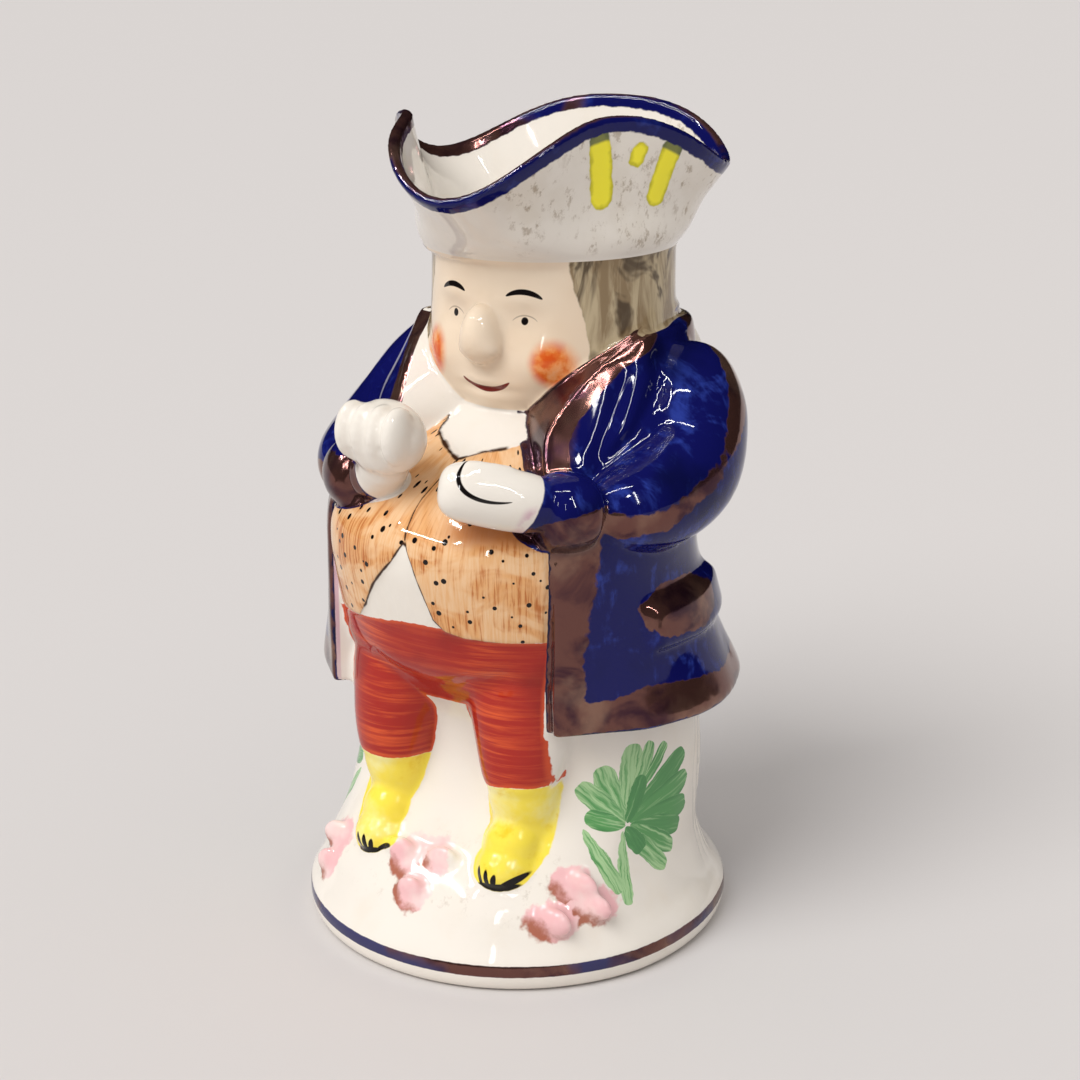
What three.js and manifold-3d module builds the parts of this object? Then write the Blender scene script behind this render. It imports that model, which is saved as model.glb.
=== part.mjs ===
// A toby jug: a stout man stands on a mound, and his open three-cornered hat is the mouth of the jug.
// It is cast in one piece, hollow from the foot to the brim, and a strap handle loops behind his back.
// Millimetres, +Z up. The man faces -Y, and his left hand is on the +X side.
import * as THREE from "three";
import { mergeVertices } from "three/addons/utils/BufferGeometryUtils.js";
import Module from "manifold-3d";

// Driving dimensions
const jugHeight = 248;
const baseDiameter = 132;
const wall = 5;
const floorThickness = 6;
const footRingWidth = 10;
const footRecess = 3;
const brimWall = 3.6;
const brimRoll = 4.6;
const handleWidth = 17;
const handleThickness = 10;
const handleReach = 106;
const headDiameter = 74;
const hatTurn = 3.8;
const stoneRise = 3;

// The figure is drawn on a grid of 248 parts from the table to the top of the hat.
const gridHeight = 248;
const part = jugHeight / gridHeight;

// Facets round and along the forms
const bodySides = 36;
const bodyRows = 30;
const coatSides = 40;
const coatRows = 14;
const headSides = 30;
const headRows = 9;
const hatSides = 48;
const hatRows = 5;
const rollSteps = 4;
const limbSides = 12;
const limbRows = 10;
const handleRows = 18;
const cavitySides = 30;
const cavityRows = 20;
const ballSides = 12;
const smallBallSides = 8;
const lowRowsCloser = 1.12;

const baseRadius = baseDiameter / 2 / part;
const headRadius = headDiameter / 2 / part;
const wallParts = wall / part;

// Body, each row: height, half width, reach to the front, reach to the back, squareness of the front
const bodyTable = [
  [0, baseRadius - 2.4, baseRadius - 2.4, baseRadius - 2.4, 0],
  [1.5, baseRadius - 0.7, baseRadius - 0.7, baseRadius - 0.7, 0],
  [4, baseRadius, baseRadius, baseRadius, 0],
  [8.5, baseRadius, baseRadius, baseRadius, 0],
  [11.5, baseRadius - 1.8, baseRadius - 1.8, baseRadius - 1.8, 0],
  [16, baseRadius - 5.2, baseRadius - 5, baseRadius - 5.4, 0.05],
  [22, baseRadius - 8, baseRadius - 9, baseRadius - 8, 0.1],
  [28, 55.8, 51, 56.2, 0.15],
  [35, 54.8, 43, 55.4, 0.22],
  [44, 54.4, 36, 55, 0.28],
  [54, 54.2, 32.5, 55, 0.3],
  [65, 53.4, 32, 54, 0.3],
  [75, 52.4, 35, 52.5, 0.25],
  [85, 51.5, 43.5, 51, 0.15],
  [94, 51, 49.5, 50, 0.1],
  [104, 50.5, 52.5, 50, 0.1],
  [115, 50.2, 55.5, 50, 0.1],
  [125, 50, 57.5, 50, 0.1],
  [133, 49, 56.5, 50, 0.1],
  [140, 47, 49.5, 50, 0.05],
  [145, 45, 40.5, 50.5, 0],
  [150, 43, 30.5, 51.5, 0],
  [157, 40, 19, 52, 0],
  [164, 37, 10, 52, 0],
  [172, 33, 4, 51, 0],
  [181, 28, 2, 48, 0],
];

// Head, each row: height, what its radius loses, how far the front draws back, how far the back draws back
const headMiddle = 20.3;
const headTable = [
  [156, 11, 17.5, 2],
  [160, 5.5, 9, 1],
  [164, 2.4, 4.2, 0.5],
  [169, 0.6, 1.4, 0.2],
  [176, -0.6, 0, 0],
  [185, -0.2, 0.2, 0],
  [195, 0.2, 0.6, 0],
  [208, 0.4, 0.8, 0],
];
const headTop = 208;

// Coat, each row: height, angle of its front edge, then its radius at that edge, at the side and behind
const coatTable = [
  [76.5, 43, 56.8, 68.6, 68],
  [78, 43, 57.5, 69.6, 69],
  [82, 43, 57.6, 68, 67.5],
  [90, 43, 57.6, 64.4, 63],
  [99, 43, 57.6, 61, 59],
  [109, 43, 57.6, 58, 56.5],
  [119, 43, 57.6, 55.2, 54.5],
  [129, 43, 57.4, 55, 54.5],
  [137, 43, 55.6, 55, 54.5],
  [145, 43, 49.6, 54, 55],
  [153, 43, 42, 52, 56],
  [161, 46, 36.5, 50, 57.4],
  [169, 58, 34, 46, 59.5],
  [177, 76, 33.4, 43, 60],
  [182, 92, 34.5, 42, 59.4],
  [186, 104, 36.4, 40.5, 58.2],
  [188.5, 112, 37.2, 39.5, 57.4],
];
const coatOpeningSteps = 3;
const coatSideAngle = 100;
const coatBackAngle = 155;
const coatInsideShare = 0.25;
const flap = { angle: 98, halfAngle: 26, height: 106, halfHeight: 8.5, fade: 4, depth: 3.4 };

// Harmonics of the brim's path: reach from the hat's middle, and height
const brimReach = [48.9, -5.9, 3.3, 6.05, 0, 0, -0.8];
const brimHeight = [237.8, -1, -1.4, -8.4, 0, 0, -1.3];
const brimLean = 1.3;
const hatMiddle = 11.6;
const hatFootRadius = headRadius + 0.9;
const hatFoot = 206;
const hatFlare = 1.1;
const throatRadius = headRadius - wallParts;
const cavityOverrun = 3;

// Limbs, each row: x, y, height, radius
const leftSleeve = [
  [30, 32, 168, 17],
  [34.6, 29, 164, 21.2],
  [43.6, 21, 155.5, 21.2],
  [50.2, 11.5, 147, 18.4],
  [50, -2, 142, 16.2],
  [47.5, -15, 140.5, 13.6],
  [42.5, -28, 141.5, 11],
];
const leftCuff = [
  [42.5, -27, 141.5, 10.4],
  [39, -35, 143, 11.6],
  [35.5, -41.5, 144.5, 10],
];
const leftHand = [
  [37.5, -38, 144, 7.8],
  [33.5, -43.5, 146.5, 8.4],
  [28, -49, 148.5, 8.8],
  [20, -56, 151, 8.4],
  [14, -60, 152, 7],
];
const leftThumb = [
  [31, -46, 153, 4.2],
  [25, -53, 155.5, 4],
  [19.5, -57.5, 157, 3.6],
];
const rightSleeve = [
  [-30, 32, 168, 17],
  [-34.6, 29, 164, 21.2],
  [-43.4, 21, 155.5, 21],
  [-50, 11.5, 147, 18.2],
  [-48.4, -4, 142.5, 16.4],
  [-43, -20, 142, 14.2],
  [-36, -30, 143, 12.2],
];
const rightCuff = [
  [-36, -30, 143, 11.6],
  [-30, -37, 143.5, 11.4],
  [-24, -42, 145, 9.6],
];
const rightWrist = [
  [-24, -42, 145, 8],
  [-17, -45, 148.5, 7.6],
  [-12, -49, 155, 8],
];
const rightFist = { x: -11, y: -50, z: 160.5, rx: 12.5, ry: 10.5, rz: 11 };
const rightFingers = { count: 4, first: -19, last: -3, y: -55, z: 163, rx: 3.6, ry: 7, rz: 8.6 };
const limbEndSharpness = 8;
const limbEndShare = 0.25;
const footX = 22.8;
const thigh = [
  [-19, -22, 95, 19],
  [-21, -27, 83, 17.5],
  [-22.5, -30, 70, 14.8],
  [-22.8, -31.5, 59, 12.4],
  [-22.8, -31.5, 55, 11],
];
const boot = [
  [-22.8, -31.5, 61, 10.8],
  [-22.8, -31, 54, 11],
  [-22.6, -30, 43, 9.8],
  [-22.6, -30.5, 33, 10],
  [-22.6, -31, 26, 9],
];
const foot = { y: -36.5, z: 31.5, rx: 9.6, ry: 14, rz: 7.8 };

// Handle, each row: distance behind the middle, height
const handlePath = [
  [50, 169],
  [66, 177],
  [handleReach / part - 20, 171.5],
  [handleReach / part - 7, 161],
  [handleReach / part - 1, 143],
  [handleReach / part, 121],
  [handleReach / part - 2, 103],
  [handleReach / part - 12, 91],
  [74, 88],
  [48, 92],
];

// Stones on the mound, each: angle from the front, height, half width
const stones = [
  [-43, 25.5, 5.5],
  [-40.5, 18.5, 4.5],
  [-8, 30.5, 5.5],
  [2.5, 31.5, 5.5],
  [-1, 23.5, 5],
  [50.5, 28.5, 6],
  [56, 22.5, 6.5],
  [43, 20, 6.5],
];
const stoneSunk = 1.5;
const stoneDepthShare = 0.7;
const nose = { y: -17.5, z: 185, rx: 6.2, ry: 7.6, rz: 8.4 };

const wasm = await Module();
wasm.setup();

// Smooth values between the rows of a table at a given place in its first column
function rowAt(table, place) {
  let index = 0;
  while (index < table.length - 2 && place > table[index + 1][0]) index += 1;
  const before = table[Math.max(index - 1, 0)];
  const start = table[index];
  const end = table[index + 1];
  const after = table[Math.min(index + 2, table.length - 1)];
  const span = end[0] - start[0];
  const t = THREE.MathUtils.clamp((place - start[0]) / span, 0, 1);
  return start.map((value, column) => {
    const slopeIn = ((end[column] - before[column]) / (end[0] - before[0])) * span;
    const slopeOut = ((after[column] - value) / (after[0] - start[0])) * span;
    const bend = 3 * (end[column] - value) - 2 * slopeIn - slopeOut;
    const twist = slopeIn + slopeOut - 2 * (end[column] - value);
    return value + t * (slopeIn + t * (bend + t * twist));
  });
}

function ease(from, to, value) {
  return THREE.MathUtils.smoothstep(value, from, to);
}

// A closed geometry becomes a solid whose shared corners are merged
function solidOf(geometry) {
  geometry.deleteAttribute("normal");
  geometry.deleteAttribute("uv");
  const merged = mergeVertices(geometry, 1e-4);
  const vertProperties = new Float32Array(merged.attributes.position.array);
  const triVerts = new Uint32Array(merged.index.array);
  return new wasm.Manifold(new wasm.Mesh({ numProp: 3, vertProperties, triVerts }));
}

// A cylinder whose rings are moved to where place(share, angle, spread) puts them, spread 0 for the cap middles
function tower(sides, rows, place) {
  const form = new THREE.CylinderGeometry(1, 1, 1, sides, rows);
  const corners = form.attributes.position;
  for (let i = 0; i < corners.count; i += 1) {
    const angle = Math.atan2(corners.getX(i), corners.getZ(i));
    const spread = Math.hypot(corners.getX(i), corners.getZ(i)) > 0.5 ? 1 : 0;
    const spot = place(corners.getY(i) + 0.5, angle, spread).multiplyScalar(part);
    corners.setXYZ(i, spot.x, spot.y, spot.z);
  }
  return solidOf(form);
}

// A tube with blunt round ends along a route of rows: x, y, height, radius
function limb(route, { rows = limbRows, flat = 1, reference = new THREE.Vector3(0, 0, 1) } = {}) {
  const path = new THREE.CatmullRomCurve3(route.map(([x, y, z]) => new THREE.Vector3(x, y, z)));
  const radii = route.map((row, index) => [index / (route.length - 1), row[3]]);
  return tower(limbSides, rows, (share, angle, spread) => {
    const t = (1 - Math.cos(Math.PI * share)) / 2;
    const tangent = path.getTangent(t);
    const across = new THREE.Vector3().crossVectors(tangent, reference).normalize();
    const over = new THREE.Vector3().crossVectors(across, tangent);
    const rounding = THREE.MathUtils.lerp(Math.sqrt(1 - Math.abs(2 * t - 1) ** limbEndSharpness), 1, limbEndShare);
    const radius = rowAt(radii, t)[1] * rounding * spread;
    return path.getPoint(t)
      .addScaledVector(across, radius * Math.sin(angle))
      .addScaledVector(over, radius * flat * Math.cos(angle));
  });
}

function ball({ x = 0, y, z, rx, ry, rz }, sides = ballSides) {
  const form = new THREE.SphereGeometry(1, sides, Math.round(sides * 0.6));
  form.scale(rx, ry, rz).translate(x, y, z).scale(part, part, part);
  return solidOf(form);
}

// Reach of the body in one direction at one height, as a point of its ring
function bodyPoint([height, halfWidth, front, back, square], angle, spread) {
  const middle = (back - front) / 2;
  const depth = (back + front) / 2;
  const facing = Math.max(Math.cos(angle), 0);
  const power = 1 - square * Math.min(1, 2 * facing);
  const sine = Math.sin(angle);
  const cosine = Math.cos(angle);
  const x = halfWidth * Math.sign(sine) * Math.abs(sine) ** power;
  const y = middle - depth * Math.sign(cosine) * Math.abs(cosine) ** power;
  return new THREE.Vector3(x * spread, middle + (y - middle) * spread, height);
}

function headRow(height) {
  const [, loss, frontLoss, backLoss] = rowAt(headTable, height);
  const front = headRadius - headMiddle - frontLoss;
  const back = headRadius + headMiddle - backLoss;
  return [height, headRadius - loss, front, back, 0];
}

function body() {
  const top = bodyTable.at(-1)[0];
  return tower(bodySides, bodyRows, (share, angle, spread) => {
    const height = top * share ** lowRowsCloser;
    return bodyPoint(rowAt(bodyTable, height), angle, spread);
  });
}

function head() {
  const low = headTable[0][0];
  return tower(headSides, headRows, (share, angle, spread) => {
    return bodyPoint(headRow(low + (headTop - low) * share), angle, spread);
  });
}

// Coat: a ring that keeps inside the body across the front opening
function coat() {
  const low = coatTable[0][0];
  const high = coatTable.at(-1)[0];
  const step = (2 * Math.PI) / coatSides;
  const opening = coatOpeningSteps * step;
  return tower(coatSides, coatRows, (share, turn, spread) => {
    const height = low + (high - low) * share ** lowRowsCloser;
    const [, edgeAngle, edgeRadius, sideRadius, backRadius] = rowAt(coatTable, height);
    const side = Math.sign(turn) || 1;
    const away = Math.abs(turn);
    const isInside = away < opening - step / 2;
    const reach = ((away - opening) / (Math.PI - opening)) * (180 - edgeAngle);
    const degrees = isInside ? (away / (opening - step)) * edgeAngle : edgeAngle + reach;
    const toSide = ease(edgeAngle, coatSideAngle, degrees);
    const toBack = ease(coatSideAngle, coatBackAngle, degrees);
    const flapAcross = 1 - ease(flap.halfAngle - flap.fade, flap.halfAngle, Math.abs(degrees - flap.angle));
    const flapUp = 1 - ease(flap.halfHeight - flap.fade, flap.halfHeight, Math.abs(height - flap.height));
    const outside = edgeRadius + (sideRadius - edgeRadius) * toSide + (backRadius - sideRadius) * toBack;
    const radius = isInside ? edgeRadius * coatInsideShare : outside + flap.depth * flapAcross * flapUp;
    const angle = side * THREE.MathUtils.degToRad(degrees);
    return new THREE.Vector3(radius * Math.sin(angle), -radius * Math.cos(angle), height)
      .multiply(new THREE.Vector3(spread, spread, 1));
  });
}

function wave(terms, angle) {
  return terms.reduce((sum, size, order) => sum + size * Math.cos(order * angle), 0);
}

// Hat: its profile runs up the outside, round the rolled brim, down the inside and back under itself
function hat() {
  const roll = brimRoll / 2 / part;
  const brimHalfWall = brimWall / 2 / part;
  const climbs = Array.from({ length: hatRows + 1 }, (_, row) => row / hatRows);
  const rollTurns = Array.from({ length: rollSteps }, (_, step) => ((step + 1) / (rollSteps + 1)) * Math.PI);
  const stops = [
    ...climbs.map((climb) => ({ side: 1, climb })),
    ...rollTurns.map((rollTurn) => ({ side: 0, climb: 1, rollTurn })),
    ...climbs.reverse().map((climb) => ({ side: -1, climb })),
  ];
  const profile = stops.map((stop, index) => new THREE.Vector2(1, index));
  profile.push(profile[0].clone());
  const form = new THREE.LatheGeometry(profile, hatSides);
  const corners = form.attributes.position;
  const turn = THREE.MathUtils.degToRad(hatTurn);
  for (let i = 0; i < corners.count; i += 1) {
    const { side, climb, rollTurn } = stops[Math.round(corners.getY(i))];
    const angle = Math.atan2(corners.getX(i), corners.getZ(i));
    const reach = wave(brimReach, angle);
    const rimHeight = wave(brimHeight, angle) + brimLean * Math.sin(angle);
    const outward = side === 0 ? roll * Math.cos(rollTurn) : side * brimHalfWall;
    const upward = side === 0 ? roll * Math.sin(rollTurn) : 0;
    const footRadius = side === -1 ? throatRadius : hatFootRadius;
    const radius = THREE.MathUtils.lerp(footRadius, reach + outward, climb ** hatFlare);
    const middle = THREE.MathUtils.lerp(headMiddle, hatMiddle, climb);
    const height = THREE.MathUtils.lerp(hatFoot, rimHeight + upward, climb);
    const spot = new THREE.Vector3(radius * Math.sin(angle), middle - radius * Math.cos(angle), height);
    spot.applyAxisAngle(new THREE.Vector3(0, 0, 1), turn).multiplyScalar(part);
    corners.setXYZ(i, spot.x, spot.y, spot.z);
  }
  return solidOf(form);
}

// The body or head, whichever reaches further, drawn in by the wall in every direction of the profile
function cavityRow(height) {
  const outline = (at) => {
    const [, halfWidth, front, back, square] = rowAt(bodyTable, at);
    if (at < headTable[0][0]) return [halfWidth, front, back, square];
    const [, headHalf, headFront, headBack] = headRow(Math.min(at, headTop));
    if (at > bodyTable.at(-1)[0]) return [headHalf, headFront, headBack, 0];
    return [Math.max(halfWidth, headHalf), Math.max(front, headFront), Math.max(back, headBack), square];
  };
  const least = [Infinity, Infinity, Infinity];
  const steps = 4;
  for (let step = -steps; step <= steps; step += 1) {
    const rise = (step / steps) * wallParts;
    const drawn = Math.sqrt(wallParts ** 2 - rise ** 2);
    const sizes = outline(Math.max(height + rise, 0));
    for (let column = 0; column < 3; column += 1) {
      least[column] = Math.min(least[column], sizes[column] - drawn);
    }
  }
  return [height, ...least, outline(height)[3]];
}

function cavity() {
  const low = (footRecess + floorThickness) / part;
  const mouth = hatFoot + cavityOverrun;
  return tower(cavitySides, cavityRows, (share, angle, spread) => {
    const height = low + (mouth - low) * share;
    return bodyPoint(cavityRow(height), angle, spread);
  });
}

function footHollow() {
  const radius = baseDiameter / 2 - footRingWidth;
  const form = new THREE.CylinderGeometry(radius - footRecess / 2, radius, 2 * footRecess, bodySides);
  form.rotateX(Math.PI / 2);
  return solidOf(form);
}

// The figure's right legs are drawn, and the left ones are their mirror images
function mirrored(route) {
  return route.map(([x, ...rest]) => [-x, ...rest]);
}

function legs() {
  const forward = { reference: new THREE.Vector3(0, 1, 0), rows: 8 };
  return [1, -1].flatMap((side) => {
    const along = (route) => (side === 1 ? mirrored(route) : route);
    return [
      limb(along(thigh), forward),
      limb(along(boot), forward),
      ball({ ...foot, x: side * footX }),
    ];
  });
}

function fist() {
  const { count, first, last, ...finger } = rightFingers;
  const knuckles = Array.from({ length: count }, (_, index) => {
    return ball({ ...finger, x: first + ((last - first) * index) / (count - 1) }, smallBallSides);
  });
  return [ball(rightFist), ...knuckles];
}

function handle() {
  const route = handlePath.map(([back, height]) => [0, back, height, handleThickness / 2 / part]);
  const flat = handleWidth / handleThickness;
  return limb(route, { rows: handleRows, flat, reference: new THREE.Vector3(1, 0, 0) });
}

function moundStones() {
  return stones.map(([degrees, height, halfWidth]) => {
    const angle = THREE.MathUtils.degToRad(degrees);
    const spot = bodyPoint(rowAt(bodyTable, height), angle, 1);
    const ry = halfWidth * stoneDepthShare;
    const rz = stoneRise / part + stoneSunk;
    return ball({ x: spot.x, y: spot.y, z: height, rx: halfWidth, ry, rz }, smallBallSides);
  });
}

const outside = wasm.Manifold.union([
  body(),
  coat(),
  head(),
  ball(nose),
  hat(),
  handle(),
  ...[leftSleeve, leftCuff, leftHand, leftThumb].map((route) => limb(route)),
  ...[rightSleeve, rightCuff, rightWrist].map((route) => limb(route)),
  ...fist(),
  ...legs(),
  ...moundStones(),
]);
const jugSolid = outside.subtract(cavity()).subtract(footHollow());
const { vertProperties, triVerts } = jugSolid.getMesh();
const jugGeometry = new THREE.BufferGeometry();
jugGeometry.setAttribute("position", new THREE.BufferAttribute(new Float32Array(vertProperties), 3));
jugGeometry.setIndex(new THREE.BufferAttribute(new Uint32Array(triVerts), 1));
jugGeometry.computeBoundingBox();

const glazedWhite = new THREE.MeshStandardMaterial({ color: 0xece8df, roughness: 0.12, metalness: 0 });
const jug = new THREE.Mesh(jugGeometry, glazedWhite);
jug.name = "jug";

// The origin is under the middle of everything that the jug reaches
const { min, max } = jugGeometry.boundingBox;
const tobyJug = new THREE.Group();
tobyJug.position.set(-(min.x + max.x) / 2, -(min.y + max.y) / 2, -min.z);
tobyJug.add(jug);

export default tobyJug;
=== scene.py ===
# A toby jug of white glazed earthenware: a stout man stands on a mound, and his open hat is the jug's mouth.
# The man faces -Y and his left hand is on +X. The forms are drawn in millimetres about the mound's middle.
import math

import bmesh
import bpy
import numpy as np
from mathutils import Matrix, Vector


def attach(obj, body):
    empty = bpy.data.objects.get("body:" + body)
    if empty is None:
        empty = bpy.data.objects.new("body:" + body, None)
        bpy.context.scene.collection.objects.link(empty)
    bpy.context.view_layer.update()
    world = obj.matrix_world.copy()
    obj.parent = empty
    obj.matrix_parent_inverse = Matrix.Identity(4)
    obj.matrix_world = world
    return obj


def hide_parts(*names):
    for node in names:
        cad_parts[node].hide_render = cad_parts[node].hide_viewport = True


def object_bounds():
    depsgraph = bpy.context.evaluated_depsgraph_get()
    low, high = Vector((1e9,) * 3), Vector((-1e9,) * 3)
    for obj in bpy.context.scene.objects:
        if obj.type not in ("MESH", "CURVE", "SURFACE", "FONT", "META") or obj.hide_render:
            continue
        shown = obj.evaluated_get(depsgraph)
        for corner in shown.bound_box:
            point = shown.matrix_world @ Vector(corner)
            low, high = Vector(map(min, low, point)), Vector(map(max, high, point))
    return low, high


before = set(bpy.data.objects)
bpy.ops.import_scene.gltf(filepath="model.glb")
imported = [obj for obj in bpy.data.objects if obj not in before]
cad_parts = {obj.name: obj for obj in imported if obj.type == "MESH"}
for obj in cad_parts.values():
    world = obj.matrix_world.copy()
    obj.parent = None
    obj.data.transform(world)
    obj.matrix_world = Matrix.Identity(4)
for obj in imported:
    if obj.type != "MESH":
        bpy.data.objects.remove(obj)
cadLow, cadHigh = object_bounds()
millimetre = 0.001
moundMiddle = Vector((0.14, -22.53, 0))  # where the middle of the mound lies in the frame
print("frame loaded")

# Changeable values of the jug: its forms first, then its paint further down
jugForm = {
    "wall": 5,
    "floorTop": 9,
    "footHollow": {"radius": 56, "depth": 3},
    "voxel": 0.95,
    "softening": 3,
    "keptShare": 0.4,
    "headRadius": 37,
    "headMiddle": 20.3,
    "headTop": 208,
    "hatFoot": 206,
    "hatTurn": 3.8,
    "hatMiddle": 11.6,
    "hatFlare": 1.1,
    "hatOverhang": 0.9,
    "brimHalfWall": 1.8,
    "brimRoll": 2.3,
    "brimLean": 1.3,
    "brimReach": (48.9, -5.9, 3.3, 6.05, 0, 0, -0.8),
    "brimHeight": (237.8, -1, -1.4, -8.4, 0, 0, -1.3),
    "handleHalfThickness": 5,
    "handleFlat": 1.7,
    "handleMeanRadius": 6.5,
}

# Each row: height, half width, reach to the front, reach to the back, squareness of the front
bodyRows = (
    (0, 63.6, 63.6, 63.6, 0), (1.5, 65.3, 65.3, 65.3, 0), (4, 66, 66, 66, 0), (8.5, 66, 66, 66, 0),
    (11.5, 64.2, 64.2, 64.2, 0), (16, 60.8, 61, 60.6, 0.05), (22, 58, 57, 58, 0.1),
    (28, 55.8, 51, 56.2, 0.15), (35, 54.8, 43, 55.4, 0.22), (44, 54.4, 36, 55, 0.28),
    (54, 54.2, 32.5, 55, 0.3), (65, 53.4, 32, 54, 0.3), (75, 52.4, 35, 52.5, 0.25),
    (85, 51.5, 43.5, 51, 0.15), (94, 51, 49.5, 50, 0.1), (104, 50.5, 52.5, 50, 0.1),
    (115, 50.2, 55.5, 50, 0.1), (125, 50, 57.5, 50, 0.1), (133, 49, 56.5, 50, 0.1),
    (140, 47, 49.5, 50, 0.05), (145, 45, 40.5, 50.5, 0), (150, 43, 30.5, 51.5, 0), (157, 40, 19, 52, 0),
    (164, 37, 10, 52, 0), (172, 33, 4, 51, 0), (181, 28, 2, 48, 0),
)
# Each row: height, what the head's radius loses, how far its front draws back, how far its back draws back
headRows = (
    (156, 11, 17.5, 2), (160, 5.5, 9, 1), (164, 2.4, 4.2, 0.5), (169, 0.6, 1.4, 0.2), (176, -0.6, 0, 0),
    (185, -0.2, 0.2, 0), (195, 0.2, 0.6, 0), (208, 0.4, 0.8, 0),
)
# Each row: height, angle of the coat's front edge, then its radius at that edge, at the side and behind
coatRows = (
    (76.5, 43, 56.8, 68.6, 68), (78, 43, 57.5, 69.6, 69), (82, 43, 57.6, 68, 67.5),
    (90, 43, 57.6, 64.4, 63), (99, 43, 57.6, 61, 59), (109, 43, 57.6, 58, 56.5),
    (119, 43, 57.6, 55.2, 54.5), (129, 43, 57.4, 55, 54.5), (137, 43, 55.6, 55, 54.5),
    (145, 43, 49.6, 54, 55), (153, 43, 42, 52, 56), (161, 46, 36.5, 50, 57.4), (169, 58, 34, 46, 59.5),
    (177, 76, 33.4, 43, 60), (182, 92, 34.5, 42, 59.4), (186, 104, 36.4, 40.5, 58.2),
    (188.5, 112, 37.2, 39.5, 57.4),
)
coatShape = {
    "sideAngle": 100, "backAngle": 155,
    "angle": 98, "halfAngle": 26, "height": 106, "halfHeight": 8.5, "fade": 4, "depth": 3.4,
}

# Limbs, each row: x, y, height, radius
leftSleeve = (
    (30, 32, 168, 17), (34.6, 29, 164, 21.2), (43.6, 21, 155.5, 21.2), (50.2, 11.5, 147, 18.4),
    (50, -2, 142, 16.2), (47.5, -15, 140.5, 13.6), (42.5, -28, 141.5, 11),
)
leftCuff = ((42.5, -27, 141.5, 10.4), (39, -35, 143, 11.6), (35.5, -41.5, 144.5, 10))
leftHand = (
    (37.5, -38, 144, 7.8), (33.5, -43.5, 146.5, 8.4), (28, -49, 148.5, 8.8), (20, -56, 151, 8.4),
    (14, -60, 152, 7),
)
leftThumb = ((31, -46, 153, 4.2), (25, -53, 155.5, 4), (19.5, -57.5, 157, 3.6))
rightSleeve = (
    (-30, 32, 168, 17), (-34.6, 29, 164, 21.2), (-43.4, 21, 155.5, 21), (-50, 11.5, 147, 18.2),
    (-48.4, -4, 142.5, 16.4), (-43, -20, 142, 14.2), (-36, -30, 143, 12.2),
)
rightCuff = ((-36, -30, 143, 11.6), (-30, -37, 143.5, 11.4), (-24, -42, 145, 9.6))
rightWrist = ((-24, -42, 145, 8), (-17, -45, 148.5, 7.6), (-12, -49, 155, 8))
rightFist = {"middle": (-11, -50, 160.5), "reach": (12.5, 10.5, 11)}
rightFingers = {"count": 4, "first": -19, "last": -3, "y": -55, "z": 163, "reach": (3.6, 7, 8.6)}
thigh = (
    (-19, -22, 95, 19), (-21, -27, 83, 17.5), (-22.5, -30, 70, 14.8), (-22.8, -31.5, 59, 12.4),
    (-22.8, -31.5, 55, 11),
)
boot = (
    (-22.8, -31.5, 61, 10.8), (-22.8, -31, 54, 11), (-22.6, -30, 43, 9.8), (-22.6, -30.5, 33, 10),
    (-22.6, -31, 26, 9),
)
foot = {"middle": (-22.8, -36.5, 31.5), "reach": (9.6, 14, 7.8)}
instep = {"middle": (-22.8, -36.5, 37.5), "reach": (8.6, 8.8, 9.5)}
nose = {"middle": (0, -17.5, 185), "reach": (6.2, 7.6, 8.4)}
handlePath = (
    (50, 169), (66, 177), (86, 171.5), (99, 161), (105, 143), (106, 121), (104, 103), (94, 91),
    (74, 88), (48, 92),
)
# Stones on the mound, each: angle from the front, height, half width
stones = (
    (-43, 25.5, 5.5), (-40.5, 18.5, 4.5), (-8, 30.5, 5.5), (2.5, 31.5, 5.5), (-1, 23.5, 5),
    (50.5, 28.5, 6), (56, 22.5, 6.5), (43, 20, 6.5),
)
stoneDepthShare = 0.42
stoneHalfHeight = 4.5
limbEndSharpness = 8
limbEndShare = 0.25


def rowAt(table, place):  # smooth values between the rows of a table
    rows = np.asarray(table, float)
    place = np.atleast_1d(np.asarray(place, float))
    index = np.clip(np.searchsorted(rows[:, 0], place, side="left") - 1, 0, len(rows) - 2)
    before = rows[np.maximum(index - 1, 0)]
    start = rows[index]
    end = rows[index + 1]
    after = rows[np.minimum(index + 2, len(rows) - 1)]
    span = (end - start)[:, :1]
    t = np.clip((place[:, None] - start[:, :1]) / span, 0, 1)
    slopeIn = (end - before) / (end - before)[:, :1] * span
    slopeOut = (after - start) / (after - start)[:, :1] * span
    bend = 3 * (end - start) - 2 * slopeIn - slopeOut
    twist = slopeIn + slopeOut - 2 * (end - start)
    return start + t * (slopeIn + t * (bend + t * twist))


def ease(low, high, value):
    t = np.clip((value - low) / (high - low), 0, 1)
    return t * t * (3 - 2 * t)


def moveTo(form, places):
    for vert, place in zip(form.verts, places):
        vert.co = place


def tower(sides, rows, place):  # a cylinder whose corners go where place(share, angle, spread) puts them
    form = bmesh.new()
    bmesh.ops.create_cone(form, cap_ends=True, cap_tris=True, segments=sides, radius1=1, radius2=1, depth=1)
    upright = [edge for edge in form.edges if abs(edge.verts[0].co.z - edge.verts[1].co.z) > 0.5]
    bmesh.ops.subdivide_edges(form, edges=upright, cuts=rows - 1, use_grid_fill=True)
    spots = np.array([vert.co for vert in form.verts])
    angle = np.arctan2(spots[:, 0], -spots[:, 1])
    spread = (np.hypot(spots[:, 0], spots[:, 1]) > 0.5) * 1.0
    moveTo(form, place(spots[:, 2] + 0.5, angle, spread))
    bmesh.ops.recalc_face_normals(form, faces=form.faces)
    return form


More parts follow.
